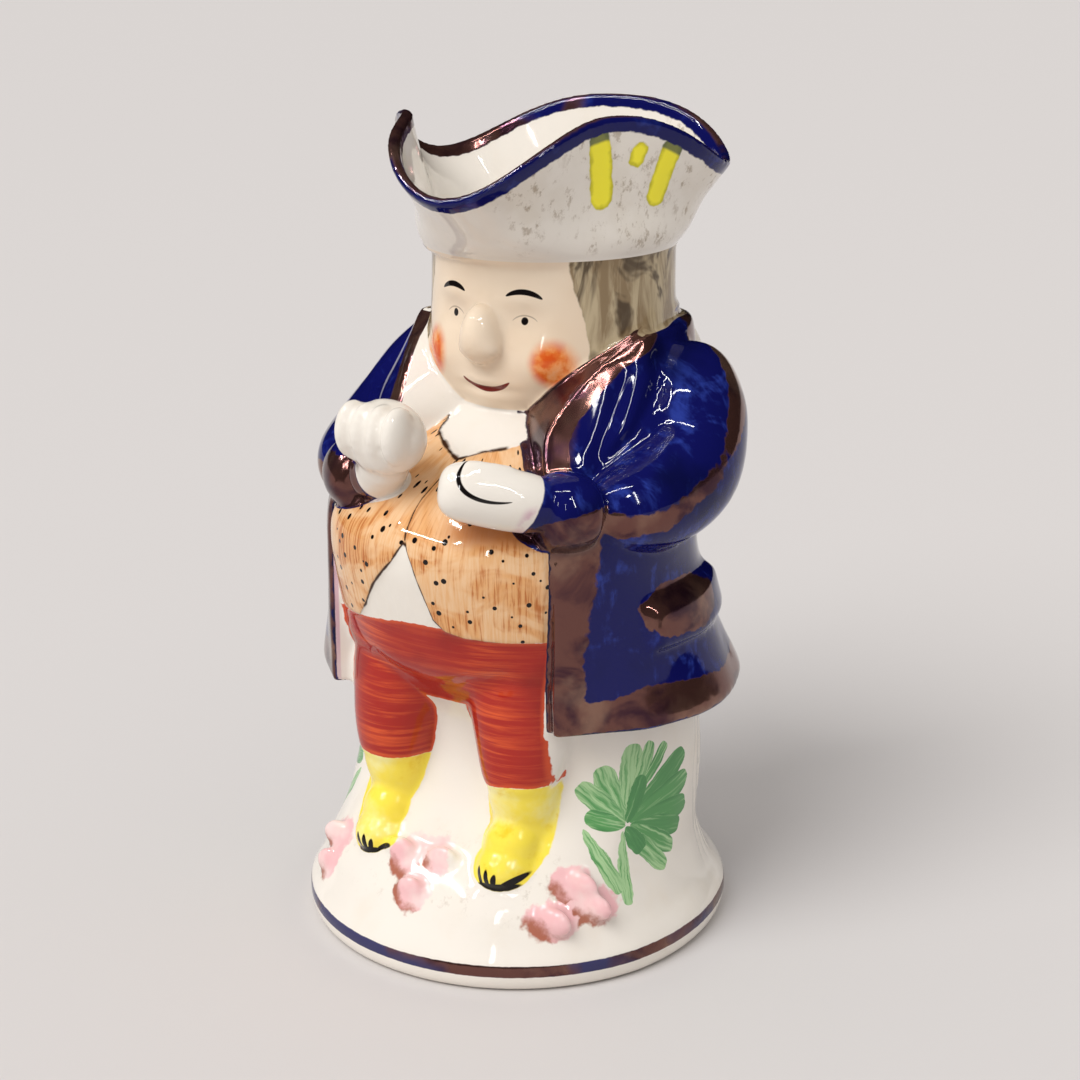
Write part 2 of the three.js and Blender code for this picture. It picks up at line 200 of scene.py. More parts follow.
def ringPoints(rows, angle, spread=1.0):
    height, halfWidth, front, back, square = rows.T
    middle = (back - front) / 2
    depth = (back + front) / 2
    power = 1 - square * np.minimum(1, 2 * np.maximum(np.cos(angle), 0))
    across = halfWidth * np.sign(np.sin(angle)) * np.abs(np.sin(angle)) ** power
    along = -depth * np.sign(np.cos(angle)) * np.abs(np.cos(angle)) ** power
    return np.column_stack((across * spread, middle + along * spread, height))


def headRing(height):
    _, loss, frontLoss, backLoss = rowAt(headRows, height).T
    radius = jugForm["headRadius"]
    middle = jugForm["headMiddle"]
    front = radius - middle - frontLoss
    back = radius + middle - backLoss
    return np.column_stack((height, radius - loss, front, back, 0 * loss))


def coatRadius(degrees, height):
    _, edgeAngle, edgeRadius, sideRadius, backRadius = rowAt(coatRows, height).T
    toSide = ease(edgeAngle, coatShape["sideAngle"], degrees)
    toBack = ease(coatShape["sideAngle"], coatShape["backAngle"], degrees)
    fade = coatShape["fade"]
    turnedAway = np.abs(degrees - coatShape["angle"])
    heightAway = np.abs(height - coatShape["height"])
    flapAcross = 1 - ease(coatShape["halfAngle"] - fade, coatShape["halfAngle"], turnedAway)
    flapUp = 1 - ease(coatShape["halfHeight"] - fade, coatShape["halfHeight"], heightAway)
    outside = edgeRadius + (sideRadius - edgeRadius) * toSide + (backRadius - sideRadius) * toBack
    return outside + coatShape["depth"] * flapAcross * flapUp


def bodyForm():
    def place(share, angle, spread):
        return ringPoints(rowAt(bodyRows, bodyRows[-1][0] * share), angle, spread)

    return tower(140, 150, place)


def headForm():
    low = headRows[0][0]
    rise = jugForm["headTop"] - low

    def place(share, angle, spread):
        return ringPoints(headRing(low + rise * share), angle, spread)

    return tower(110, 50, place)


def coatForm():
    low = coatRows[0][0]
    rise = coatRows[-1][0] - low
    openingShare = 0.08  # the part of a half turn that passes inside the body, across the front

    def place(share, turn, spread):
        height = low + rise * share
        edgeAngle = rowAt(coatRows, height)[:, 1]
        away = np.abs(turn) / math.pi
        isInside = away < openingShare
        degrees = edgeAngle + (away - openingShare) / (1 - openingShare) * (180 - edgeAngle)
        degrees = np.where(isInside, away / openingShare * edgeAngle, degrees)
        radius = np.where(isInside, 0.25 * rowAt(coatRows, height)[:, 2], coatRadius(degrees, height))
        angle = np.sign(turn) * np.radians(degrees)
        return np.column_stack((radius * np.sin(angle) * spread, -radius * np.cos(angle) * spread, height))

    return tower(180, 110, place)


def limbLine(route, t):  # centre and radius along a limb, with its blunt round ends
    table = [(index / (len(route) - 1), *row) for index, row in enumerate(route)]
    values = rowAt(table, t)
    rounding = np.sqrt(np.maximum(1 - np.abs(2 * t - 1) ** limbEndSharpness, 0))
    rounding = rounding + (1 - rounding) * limbEndShare
    return values[:, 1:4], values[:, 4] * rounding


def limbForm(route, flat=1, reference=(0, 0, 1)):
    def place(share, angle, spread):
        t = (1 - np.cos(np.pi * share)) / 2
        centre, radius = limbLine(route, t)
        tangent = limbLine(route, np.minimum(t + 0.01, 1))[0] - limbLine(route, np.maximum(t - 0.01, 0))[0]
        across = np.cross(tangent, reference)
        across /= np.linalg.norm(across, axis=1, keepdims=True)
        over = np.cross(across, tangent)
        over /= np.linalg.norm(over, axis=1, keepdims=True)
        radius = (radius * spread)[:, None]
        return centre + radius * (across * np.sin(angle)[:, None] + over * flat * np.cos(angle)[:, None])

    return tower(48, 60, place)


def ballForm(middle, reach):
    form = bmesh.new()
    bmesh.ops.create_uvsphere(form, u_segments=32, v_segments=20, radius=1)
    bmesh.ops.scale(form, vec=reach, verts=form.verts)
    bmesh.ops.translate(form, vec=middle, verts=form.verts)
    return form


def brimWave(terms, angle):
    return sum(size * np.cos(order * angle) for order, size in enumerate(terms))


def hatPoints(angle, climb, outward, upward, footRadius):
    reach = brimWave(jugForm["brimReach"], angle) + outward
    rimHeight = brimWave(jugForm["brimHeight"], angle) + jugForm["brimLean"] * np.sin(angle) + upward
    radius = footRadius + (reach - footRadius) * climb ** jugForm["hatFlare"]
    middle = jugForm["headMiddle"] + (jugForm["hatMiddle"] - jugForm["headMiddle"]) * climb
    height = jugForm["hatFoot"] + (rimHeight - jugForm["hatFoot"]) * climb
    x = radius * np.sin(angle)
    y = middle - radius * np.cos(angle)
    turn = math.radians(jugForm["hatTurn"])
    cosine = math.cos(turn)
    sine = math.sin(turn)
    return np.column_stack((x * cosine - y * sine, x * sine + y * cosine, height))


def hatForm():  # a sheet whose profile runs up the outside, round the rolled brim, down the inside and back
    climbSteps = 40
    rollSteps = 10
    climbs = [step / climbSteps for step in range(climbSteps + 1)]
    halfWall = jugForm["brimHalfWall"]
    outerFoot = jugForm["headRadius"] + jugForm["hatOverhang"]
    innerFoot = jugForm["headRadius"] - jugForm["wall"]
    stops = [(climb, halfWall, 0, outerFoot) for climb in climbs]
    for step in range(1, rollSteps):
        turn = math.pi * step / rollSteps
        outward = jugForm["brimRoll"] * math.cos(turn)
        stops.append((1, outward, jugForm["brimRoll"] * math.sin(turn), jugForm["headRadius"]))
    stops += [(climb, -halfWall, 0, innerFoot) for climb in climbs[::-1]]
    stops.append(stops[0])
    form = bmesh.new()
    bmesh.ops.create_grid(form, x_segments=240, y_segments=len(stops) - 1, size=0.5)
    spots = np.array([vert.co for vert in form.verts])
    index = np.rint((spots[:, 1] + 0.5) * (len(stops) - 1)).astype(int)
    climb, outward, upward, footRadius = np.array(stops)[index].T
    angle = (spots[:, 0] + 0.5) * 2 * math.pi
    moveTo(form, hatPoints(angle, climb, outward, upward, footRadius))
    bmesh.ops.remove_doubles(form, verts=form.verts, dist=0.001)
    bmesh.ops.recalc_face_normals(form, faces=form.faces)
    return form


def cavityRing(height):  # the body or head, whichever reaches further, drawn in by the wall
    def outline(at):
        bodyRing = rowAt(bodyRows, at)
        headPart = headRing(np.clip(at, headRows[0][0], jugForm["headTop"]))
        widest = np.maximum(bodyRing[:, 1:4], headPart[:, 1:4])
        widest = np.where((at < headRows[0][0])[:, None], bodyRing[:, 1:4], widest)
        return np.where((at > bodyRows[-1][0])[:, None], headPart[:, 1:4], widest)

    wall = jugForm["wall"]
    least = np.full((len(height), 3), 1e9)
    for rise in np.linspace(-wall, wall, 9):
        drawn = math.sqrt(max(wall ** 2 - rise ** 2, 0))
        least = np.minimum(least, outline(np.maximum(height + rise, 0)) - drawn)
    square = np.where(height < bodyRows[-1][0], rowAt(bodyRows, height)[:, 4], 0)
    return np.column_stack((height, least, square))


def cavityForm():
    low = jugForm["floorTop"]
    rise = jugForm["hatFoot"] + 3 - low

    def place(share, angle, spread):
        return ringPoints(cavityRing(low + rise * share), angle, spread)

    return tower(72, 70, place)


def footHollowForm():
    hollow = jugForm["footHollow"]
    form = bmesh.new()
    bmesh.ops.create_cone(
        form, cap_ends=True, segments=96, radius1=hollow["radius"],
        radius2=hollow["radius"] - hollow["depth"] / 2, depth=2 * hollow["depth"],
    )
    return form


def mirrored(route):
    return tuple((-row[0], *row[1:]) for row in route)


def stoneMiddle(degrees, height):
    return ringPoints(rowAt(bodyRows, height), np.radians([degrees]))[0]


def meshOf(name, forms):
    whole = bmesh.new()
    for form in forms:
        part = bpy.data.meshes.new("part")
        form.to_mesh(part)
        form.free()
        whole.from_mesh(part)
        bpy.data.meshes.remove(part)
    bmesh.ops.scale(whole, vec=(millimetre,) * 3, verts=whole.verts)
    mesh = bpy.data.meshes.new(name)
    whole.to_mesh(mesh)
    whole.free()
    return mesh


def newPiece(name, forms):
    piece = bpy.data.objects.new(name, meshOf(name, forms))
    bpy.context.scene.collection.objects.link(piece)
    return piece


def applyModifiers(piece):
    bpy.context.view_layer.update()
    evaluated = piece.evaluated_get(bpy.context.evaluated_depsgraph_get())
    mesh = bpy.data.meshes.new_from_object(evaluated)
    piece.modifiers.clear()
    piece.data = mesh


def softened(piece, rounds):
    form = bmesh.new()
    form.from_mesh(piece.data)
    axes = {"use_axis_x": True, "use_axis_y": True, "use_axis_z": True}
    for _ in range(rounds):
        bmesh.ops.smooth_vert(form, verts=form.verts, factor=0.5, **axes)
    form.to_mesh(piece.data)
    form.free()


forward = {"reference": (0, 1, 0)}
fingerXs = np.linspace(rightFingers["first"], rightFingers["last"], rightFingers["count"])
forms = [
    bodyForm(), headForm(), coatForm(), hatForm(), ballForm(**nose),
    limbForm([(0, back, height, jugForm["handleHalfThickness"]) for back, height in handlePath],
             flat=jugForm["handleFlat"], reference=(1, 0, 0)),
    ballForm(**rightFist),
]
forms += [ballForm((x, rightFingers["y"], rightFingers["z"]), rightFingers["reach"]) for x in fingerXs]
arms = (leftSleeve, leftCuff, leftHand, leftThumb, rightSleeve, rightCuff, rightWrist)
forms += [limbForm(route) for route in arms]
for route in (thigh, boot):
    forms += [limbForm(route, **forward), limbForm(mirrored(route), **forward)]
for side in (1, -1):
    for form in (foot, instep):
        forms.append(ballForm((side * form["middle"][0], *form["middle"][1:]), form["reach"]))
for degrees, height, halfWidth in stones:
    reach = (halfWidth, halfWidth * stoneDepthShare, stoneHalfHeight)
    forms.append(ballForm(stoneMiddle(degrees, height), reach))
jug = newPiece("jug_painted", forms)
print("forms joined")

remesh = jug.modifiers.new("oneSkin", "REMESH")
remesh.mode = "VOXEL"
remesh.voxel_size = jugForm["voxel"] * millimetre
remesh.use_smooth_shade = True
applyModifiers(jug)
softened(jug, jugForm["softening"])
print("one skin", len(jug.data.polygons))


def keepLargestShell(piece):
    form = bmesh.new()
    form.from_mesh(piece.data)
    unseen = set(form.verts)
    shells = []
    while unseen:
        edge = [unseen.pop()]
        shell = list(edge)
        while edge:
            near = {other for vert in edge for link in vert.link_edges for other in link.verts} & unseen
            unseen -= near
            edge = list(near)
            shell += edge
        shells.append(shell)
    shells.sort(key=len)
    for shell in shells[:-1]:
        bmesh.ops.delete(form, geom=shell, context="VERTS")
    form.to_mesh(piece.data)
    form.free()


def spotsOf(mesh):  # corners in millimetres
    values = np.empty(len(mesh.vertices) * 3)
    mesh.vertices.foreach_get("co", values)
    return values.reshape(-1, 3) / millimetre


def normalsOf(mesh):
    values = np.empty(len(mesh.vertices) * 3)
    mesh.vertex_normals.foreach_get("vector", values)
    return values.reshape(-1, 3)


def setSpots(mesh, spots):
    mesh.vertices.foreach_set("co", (spots * millimetre).ravel())
    mesh.update()


def routeGap(route, spots):  # distance to a line through a few points, flat or in space
    least = np.full(len(spots), 1e9)
    for start, end in zip(np.array(route[:-1], float), np.array(route[1:], float)):
        along = end - start
        share = np.clip((spots - start) @ along / (along @ along), 0, 1)
        least = np.minimum(least, np.linalg.norm(spots - start - share[:, None] * along, axis=1))
    return least


def outlineGap(outline, spots):  # distance to a closed outline, less than nothing inside it
    inside = np.zeros(len(spots), bool)
    corners = np.array(outline, float)
    for start, end in zip(corners, np.roll(corners, -1, axis=0)):
        crosses = (start[1] > spots[:, 1]) != (end[1] > spots[:, 1])
        rise = end[1] - start[1] or 1e-9
        crossing = start[0] + (spots[:, 1] - start[1]) * (end[0] - start[0]) / rise
        inside ^= crosses & (spots[:, 0] < crossing)
    return routeGap([*outline, outline[0]], spots) * np.where(inside, -1, 1)


def limbGap(route, spots):
    centres, radii = limbLine(route, np.linspace(0, 1, 48))
    least = np.full(len(spots), 1e9)
    for centre, radius in zip(centres, radii):
        least = np.minimum(least, np.linalg.norm(spots - centre, axis=1) - radius)
    return least


def ballGap(middle, reach, spots):
    scaled = np.linalg.norm((spots - np.array(middle)) / np.array(reach), axis=1)
    return (scaled - 1) * np.linalg.norm(spots - np.array(middle), axis=1) / np.maximum(scaled, 0.01)


def ringGap(rows, spots):
    _, halfWidth, front, back, square = rows.T
    middle = (back - front) / 2
    across = np.abs(spots[:, 0]) / halfWidth
    along = np.abs(spots[:, 1] - middle) / ((back + front) / 2)
    facing = np.where(spots[:, 1] < middle, along / np.maximum(np.hypot(across, along), 1e-6), 0)
    power = 1 - square * np.minimum(1, 2 * facing)
    reach = np.maximum((across ** (2 / power) + along ** (2 / power)) ** (power / 2), 1e-6)
    return (reach - 1) * np.hypot(spots[:, 0], spots[:, 1] - middle) / reach


def leastOf(*gaps):
    return np.minimum.reduce(gaps)


def mostOf(*gaps):
    return np.maximum.reduce(gaps)


# How far every corner of the skin stands from each form of the figure
def figureGaps(spots):
    x, y, z = spots.T
    degrees = np.abs(np.degrees(np.arctan2(x, -y)))
    gaps = {}
    gaps["body"] = mostOf(ringGap(rowAt(bodyRows, z), spots), z - bodyRows[-1][0])
    headHeight = np.clip(z, headRows[0][0], jugForm["headTop"])
    gaps["head"] = mostOf(ringGap(headRing(headHeight), spots), headRows[0][0] - z)
    gaps["head"] = leastOf(gaps["head"], ballGap(nose["middle"], nose["reach"], spots))
    gaps["coat"] = mostOf(np.hypot(x, y) - coatRadius(degrees, z), coatRows[0][0] - z, z - coatRows[-1][0])
    gaps["coatEdge"] = np.radians(rowAt(coatRows, z)[:, 1] - degrees) * np.hypot(x, y)
    gaps["coat"] = mostOf(gaps["coat"], gaps["coatEdge"])
    gaps["sleeve"] = leastOf(limbGap(leftSleeve, spots), limbGap(rightSleeve, spots))
    gaps["cuff"] = leastOf(limbGap(leftCuff, spots), limbGap(rightCuff, spots))
    gaps["leftHand"] = leastOf(limbGap(leftHand, spots), limbGap(leftThumb, spots))
    middles = [(each, rightFingers["y"], rightFingers["z"]) for each in fingerXs]
    fingers = [ballGap(middle, rightFingers["reach"], spots) for middle in middles]
    gaps["fist"] = leastOf(ballGap(rightFist["middle"], rightFist["reach"], spots), *fingers)
    gaps["hand"] = leastOf(gaps["leftHand"], gaps["fist"], limbGap(rightWrist, spots))
    legs = [limbGap(route, spots) for row in (thigh, boot) for route in (row, mirrored(row))]
    feet = []
    for form in (foot, instep):
        middle = form["middle"]
        feet += [ballGap((side * middle[0], *middle[1:]), form["reach"], spots) for side in (1, -1)]
    gaps["leg"] = leastOf(*legs, *feet)
    reaches = [(wide, wide * stoneDepthShare, stoneHalfHeight) for _, _, wide in stones]
    middles = [stoneMiddle(degrees, height) for degrees, height, _ in stones]
    gaps["stone"] = leastOf(*[ballGap(middle, reach, spots) for middle, reach in zip(middles, reaches)])
    handleRoute = [(0, back, height, jugForm["handleMeanRadius"]) for back, height in handlePath]
    gaps["handle"] = limbGap(handleRoute, spots)
    return gaps


def wrapped(spots):  # the skin laid flat: millimetres round the figure, and height
    angle = np.arctan2(spots[:, 0], -spots[:, 1])
    return np.column_stack((angle * wrapRadius, spots[:, 2]))


def onWrap(points):
    return [(math.radians(degrees) * wrapRadius, height) for degrees, height in points]


wrapRadius = 52
# Folds pressed into the cloth: the line through points on the skin, then half width and depth
folds = (
    (((40.9, -23, 149.6), (42.8, -16.5, 153.6), (45.7, -7, 160.4), (45.5, 0, 166), (44.6, 6.5, 170.6)),
     2.6, 1.5),
    (((39.5, -18, 155), (39.8, -11, 164), (39.7, -6.7, 169.4), (38, 0, 175)), 2.4, 1.2),
    (((44, -27, 146), (49, -14, 151), (53, -4, 153.5)), 2.2, 1.0),
    (((48.5, -24, 141), (54, -14, 145), (57, -6, 146)), 2.4, 0.9),
    (((-38, -27, 149), (-43, -14, 155), (-44, -3, 162)), 2.6, 1.3),
    (((-34, -33, 148), (-40, -22, 152), (-45, -12, 152)), 2.2, 0.9),
    (((0.5, -44, 78), (5, -45, 84), (14, -46, 90), (24, -44, 93)), 3.0, 0.9),
    (((-1.5, -44, 79), (-8, -46, 86), (-18, -46, 91)), 3.0, 0.8),
    (((-14, -40, 46), (-24, -43, 44.5), (-32, -36, 46)), 2.2, 0.3),
    (((14, -40, 45), (24, -43, 43.5), (32, -36, 45)), 2.2, 0.3),
)
# Soft swellings of the face and cloth: middle, reach, and how far the skin moves out
swellings = (
    ((-12.5, -16, 190), (5.5, 8, 3.6), -1.5), ((12.5, -16, 190), (5.5, 8, 3.6), -1.5),
    ((-12.5, -18, 189.8), (2.6, 6, 1.7), 0.9), ((12.5, -18, 189.8), (2.6, 6, 1.7), 0.9),
    ((-11, -16, 196.5), (7, 8, 2.6), 0.9), ((11, -16, 196.5), (7, 8, 2.6), 0.9),
    ((-17, -12, 178), (8, 9, 7), 2.0), ((17, -12, 178), (8, 9, 7), 2.0),
    ((0, -17, 161.5), (8, 8, 4.5), 1.8), ((0, -18, 171.2), (9, 7, 1.5), 0.9),
    ((0, -18, 166.6), (6.5, 7, 1.6), 0.9), ((0, -18, 169), (8.5, 7, 1.1), -0.9),
    ((-5, -19, 181.5), (2.8, 4, 2.6), 1.2), ((5, -19, 181.5), (2.8, 4, 2.6), 1.2),
    ((0, -18, 191), (3.2, 7, 6), 1.6), ((36.5, 17, 184), (3, 6, 8), 1.2),
)
# Soft forms of the hat's outside
hatSwellings = (
    ((0, 20, 213), (60, 60, 5), 1.3), ((-4, -22, 222), (6, 12, 9), -1.2),
    ((16, -18, 216), (7, 12, 7), 1.4), ((26, -10, 226), (5, 12, 9), -1.1),
    ((38, 14, 214), (9, 16, 6), 1.3), ((40, 30, 222), (8, 12, 8), -0.9),
    ((-38, 14, 214), (9, 16, 6), 1.2), ((-26, -8, 224), (6, 12, 9), -1.0),
)
sculpt = {
    "waistcoatRise": 0.8,
    "fingerGroove": 0.3,
    "barkDepth": 0.55,
    "unevenness": 0.25,
    "gatherDepth": 0.08,
}
# Outlines on the wrapped skin, each point: angle from the front in degrees, height
neckLine = ((-50, 161), (-34, 155.5), (-1, 151), (13, 153.2), (30, 154.5), (48, 156.6))
frontLine = ((-1, 151), (-2, 143), (-1, 138.5), (0, 133.5))
openingRight = ((0, 133.5), (-4, 127.2), (-13, 117.8), (-19, 110), (-25, 104.6))
openingLeft = ((0, 133.5), (3, 127), (5, 120.6), (8, 110.5), (11.5, 107.2))
waistcoatBottomLeft = ((11.5, 107.2), (18, 105.9), (28, 105.3), (48, 104.8))
waistcoatBottomRight = ((-25, 104.6), (-34, 103.8), (-50, 101.8))
waistcoatOutline = onWrap([
    *neckLine, *waistcoatBottomLeft[::-1], *openingLeft[:-1][::-1], *openingRight[1:],
    *waistcoatBottomRight[1:],
])


def withRelief(mesh):
    spots = spotsOf(mesh)
    normals = normalsOf(mesh)
    gaps = figureGaps(spots)
    x, y, z = spots.T
    move = np.zeros(len(spots))
    for route, halfWidth, depth in folds:
        move -= depth * np.exp(-(routeGap(route, spots) / halfWidth) ** 2)
    onFace = ease(1.5, 0, gaps["head"]) * ease(-jugForm["wall"] + 1, -1.5, gaps["head"]) * ease(207, 205, z)
    for middle, reach, rise in swellings:
        away = np.linalg.norm((spots - np.array(middle)) / np.array(reach), axis=1)
        move += onFace * rise * np.exp(-away ** 2)
    onHat = ease(207, 210, z) * (np.sum(normals[:, :2] * (spots[:, :2] - np.array((0, 15))), axis=1) > 0)
    for middle, reach, rise in hatSwellings:
        away = np.linalg.norm((spots - np.array(middle)) / np.array(reach), axis=1)
        move += onHat * ease(238, 230, z) * rise * np.exp(-away ** 2)
    flat = wrapped(spots)
    onBody = ease(0.6, -0.6, gaps["body"] - leastOf(gaps["hand"], gaps["cuff"], gaps["sleeve"], gaps["leg"]))
    onBody = onBody * ease(-2, -1, gaps["body"]) * ease(0, 2, gaps["coatEdge"]) * ease(2, 1, gaps["body"])
    waistcoat = outlineGap(waistcoatOutline, flat)
    move += sculpt["waistcoatRise"] * ease(0.8, -0.8, waistcoat) * onBody
    gathers = np.sin(flat[:, 0] * 1.9 + 0.6 * np.sin(z * 0.5))
    shirt = ease(1, 3, waistcoat) * ease(132, 128, z) * ease(103, 106, z)
    shirt = shirt * ease(14, 10, np.abs(flat[:, 0] + 6))
    move += sculpt["gatherDepth"] * gathers * shirt * onBody
    knuckles = leastOf(*[np.abs(x - (fingerXs[i] + fingerXs[i + 1]) / 2) for i in range(len(fingerXs) - 1)])
    onFist = ease(1.5, 0, gaps["fist"]) * ease(-48, -52, y)
    move -= sculpt["fingerGroove"] * np.exp(-(knuckles / 0.9) ** 2) * onFist
    degrees = np.degrees(np.arctan2(x, -y))
    bark = np.maximum(0, np.sin(degrees * 1.15 + 2 * np.sin(z * 0.16))) ** 3
    onBark = ease(104, 116, np.abs(degrees)) * ease(14, 20, z) * ease(74, 60, z) * ease(-2, -1, gaps["body"])
    move -= sculpt["barkDepth"] * bark * onBark * ease(1, 0, gaps["body"])
    uneven = np.sin(x * 0.21 + 1.3) * np.sin(y * 0.17 + 0.4)
    uneven = uneven + 0.6 * np.sin(z * 0.19 + x * 0.11) * np.sin(y * 0.29)
    move += sculpt["unevenness"] * uneven * ease(-1.5, -0.5, gaps["body"]) * ease(5, 14, z) * ease(110, 90, z)
    setSpots(mesh, spots + normals * move[:, None])


withRelief(jug.data)
softened(jug, 1)
keepLargestShell(jug)
thinning = jug.modifiers.new("fewerFaces", "DECIMATE")
thinning.ratio = jugForm["keptShare"]
cavity = newPiece("cavity", [cavityForm()])
footHollow = newPiece("footHollow", [footHollowForm()])
for cutter in (cavity, footHollow):
    cut = jug.modifiers.new("cut", "BOOLEAN")
    cut.operation = "DIFFERENCE"
    cut.solver = "MANIFOLD"
    cut.object = cutter
applyModifiers(jug)
for cutter in (cavity, footHollow):
    bpy.data.objects.remove(cutter)
print("hollowed", len(jug.data.polygons))

# Paint outlines on the wrapped skin, each point: angle from the front in degrees, height
flapPatch = (
    (71, 112.5), (81, 117), (99, 116), (107, 111.5), (104, 104.5), (95, 101.5), (79, 102.8), (73, 106),
)
bandRoute = (
    (49, -37, 141), (52.5, -26.4, 138.7), (60, -14.2, 139.5), (64.5, 2.8, 147), (63, 17, 156.5),
    (57, 29, 166), (46, 36, 175), (32, 43, 184),
)
hemTop = ((43, 60, 71, 82, 103, 140, 180), (87, 87, 89.7, 88.5, 85.5, 87, 86))
shirtFoot = ((-45, -23, -4, 11, 30, 45), (102, 104.8, 107.6, 108, 105.5, 105))
hairFront = ((172, 178, 183, 191.5, 199, 206), (47, 48.2, 49, 46.4, 42.2, 39.7))
plumeStrokes = (
    (((33.2, -7.7, 242), (31.9, -4.2, 226)), 3.7),
    (((38.9, 4.4, 238.6), (38, 4.0, 236)), 2.5),
    (((45, 12.5, 238.5), (39.8, 12.5, 225)), 3.4),
)
edges = {
    "coatTurn": 1.5,
    "bandStart": 1.4,
    "bandWidth": 8.2,
    "lapelNarrow": 1.5,
    "cuffLap": 2.5,
    "hemLow": 77.6,
    "coatLow": 75.8,
    "sleeveBand": 3.8,
    "bootTopRight": 57.4,
    "bootTopLeft": 55.6,
    "crotch": 79,
    "legSide": 34.6,
    "insideMargin": 1.5,
}


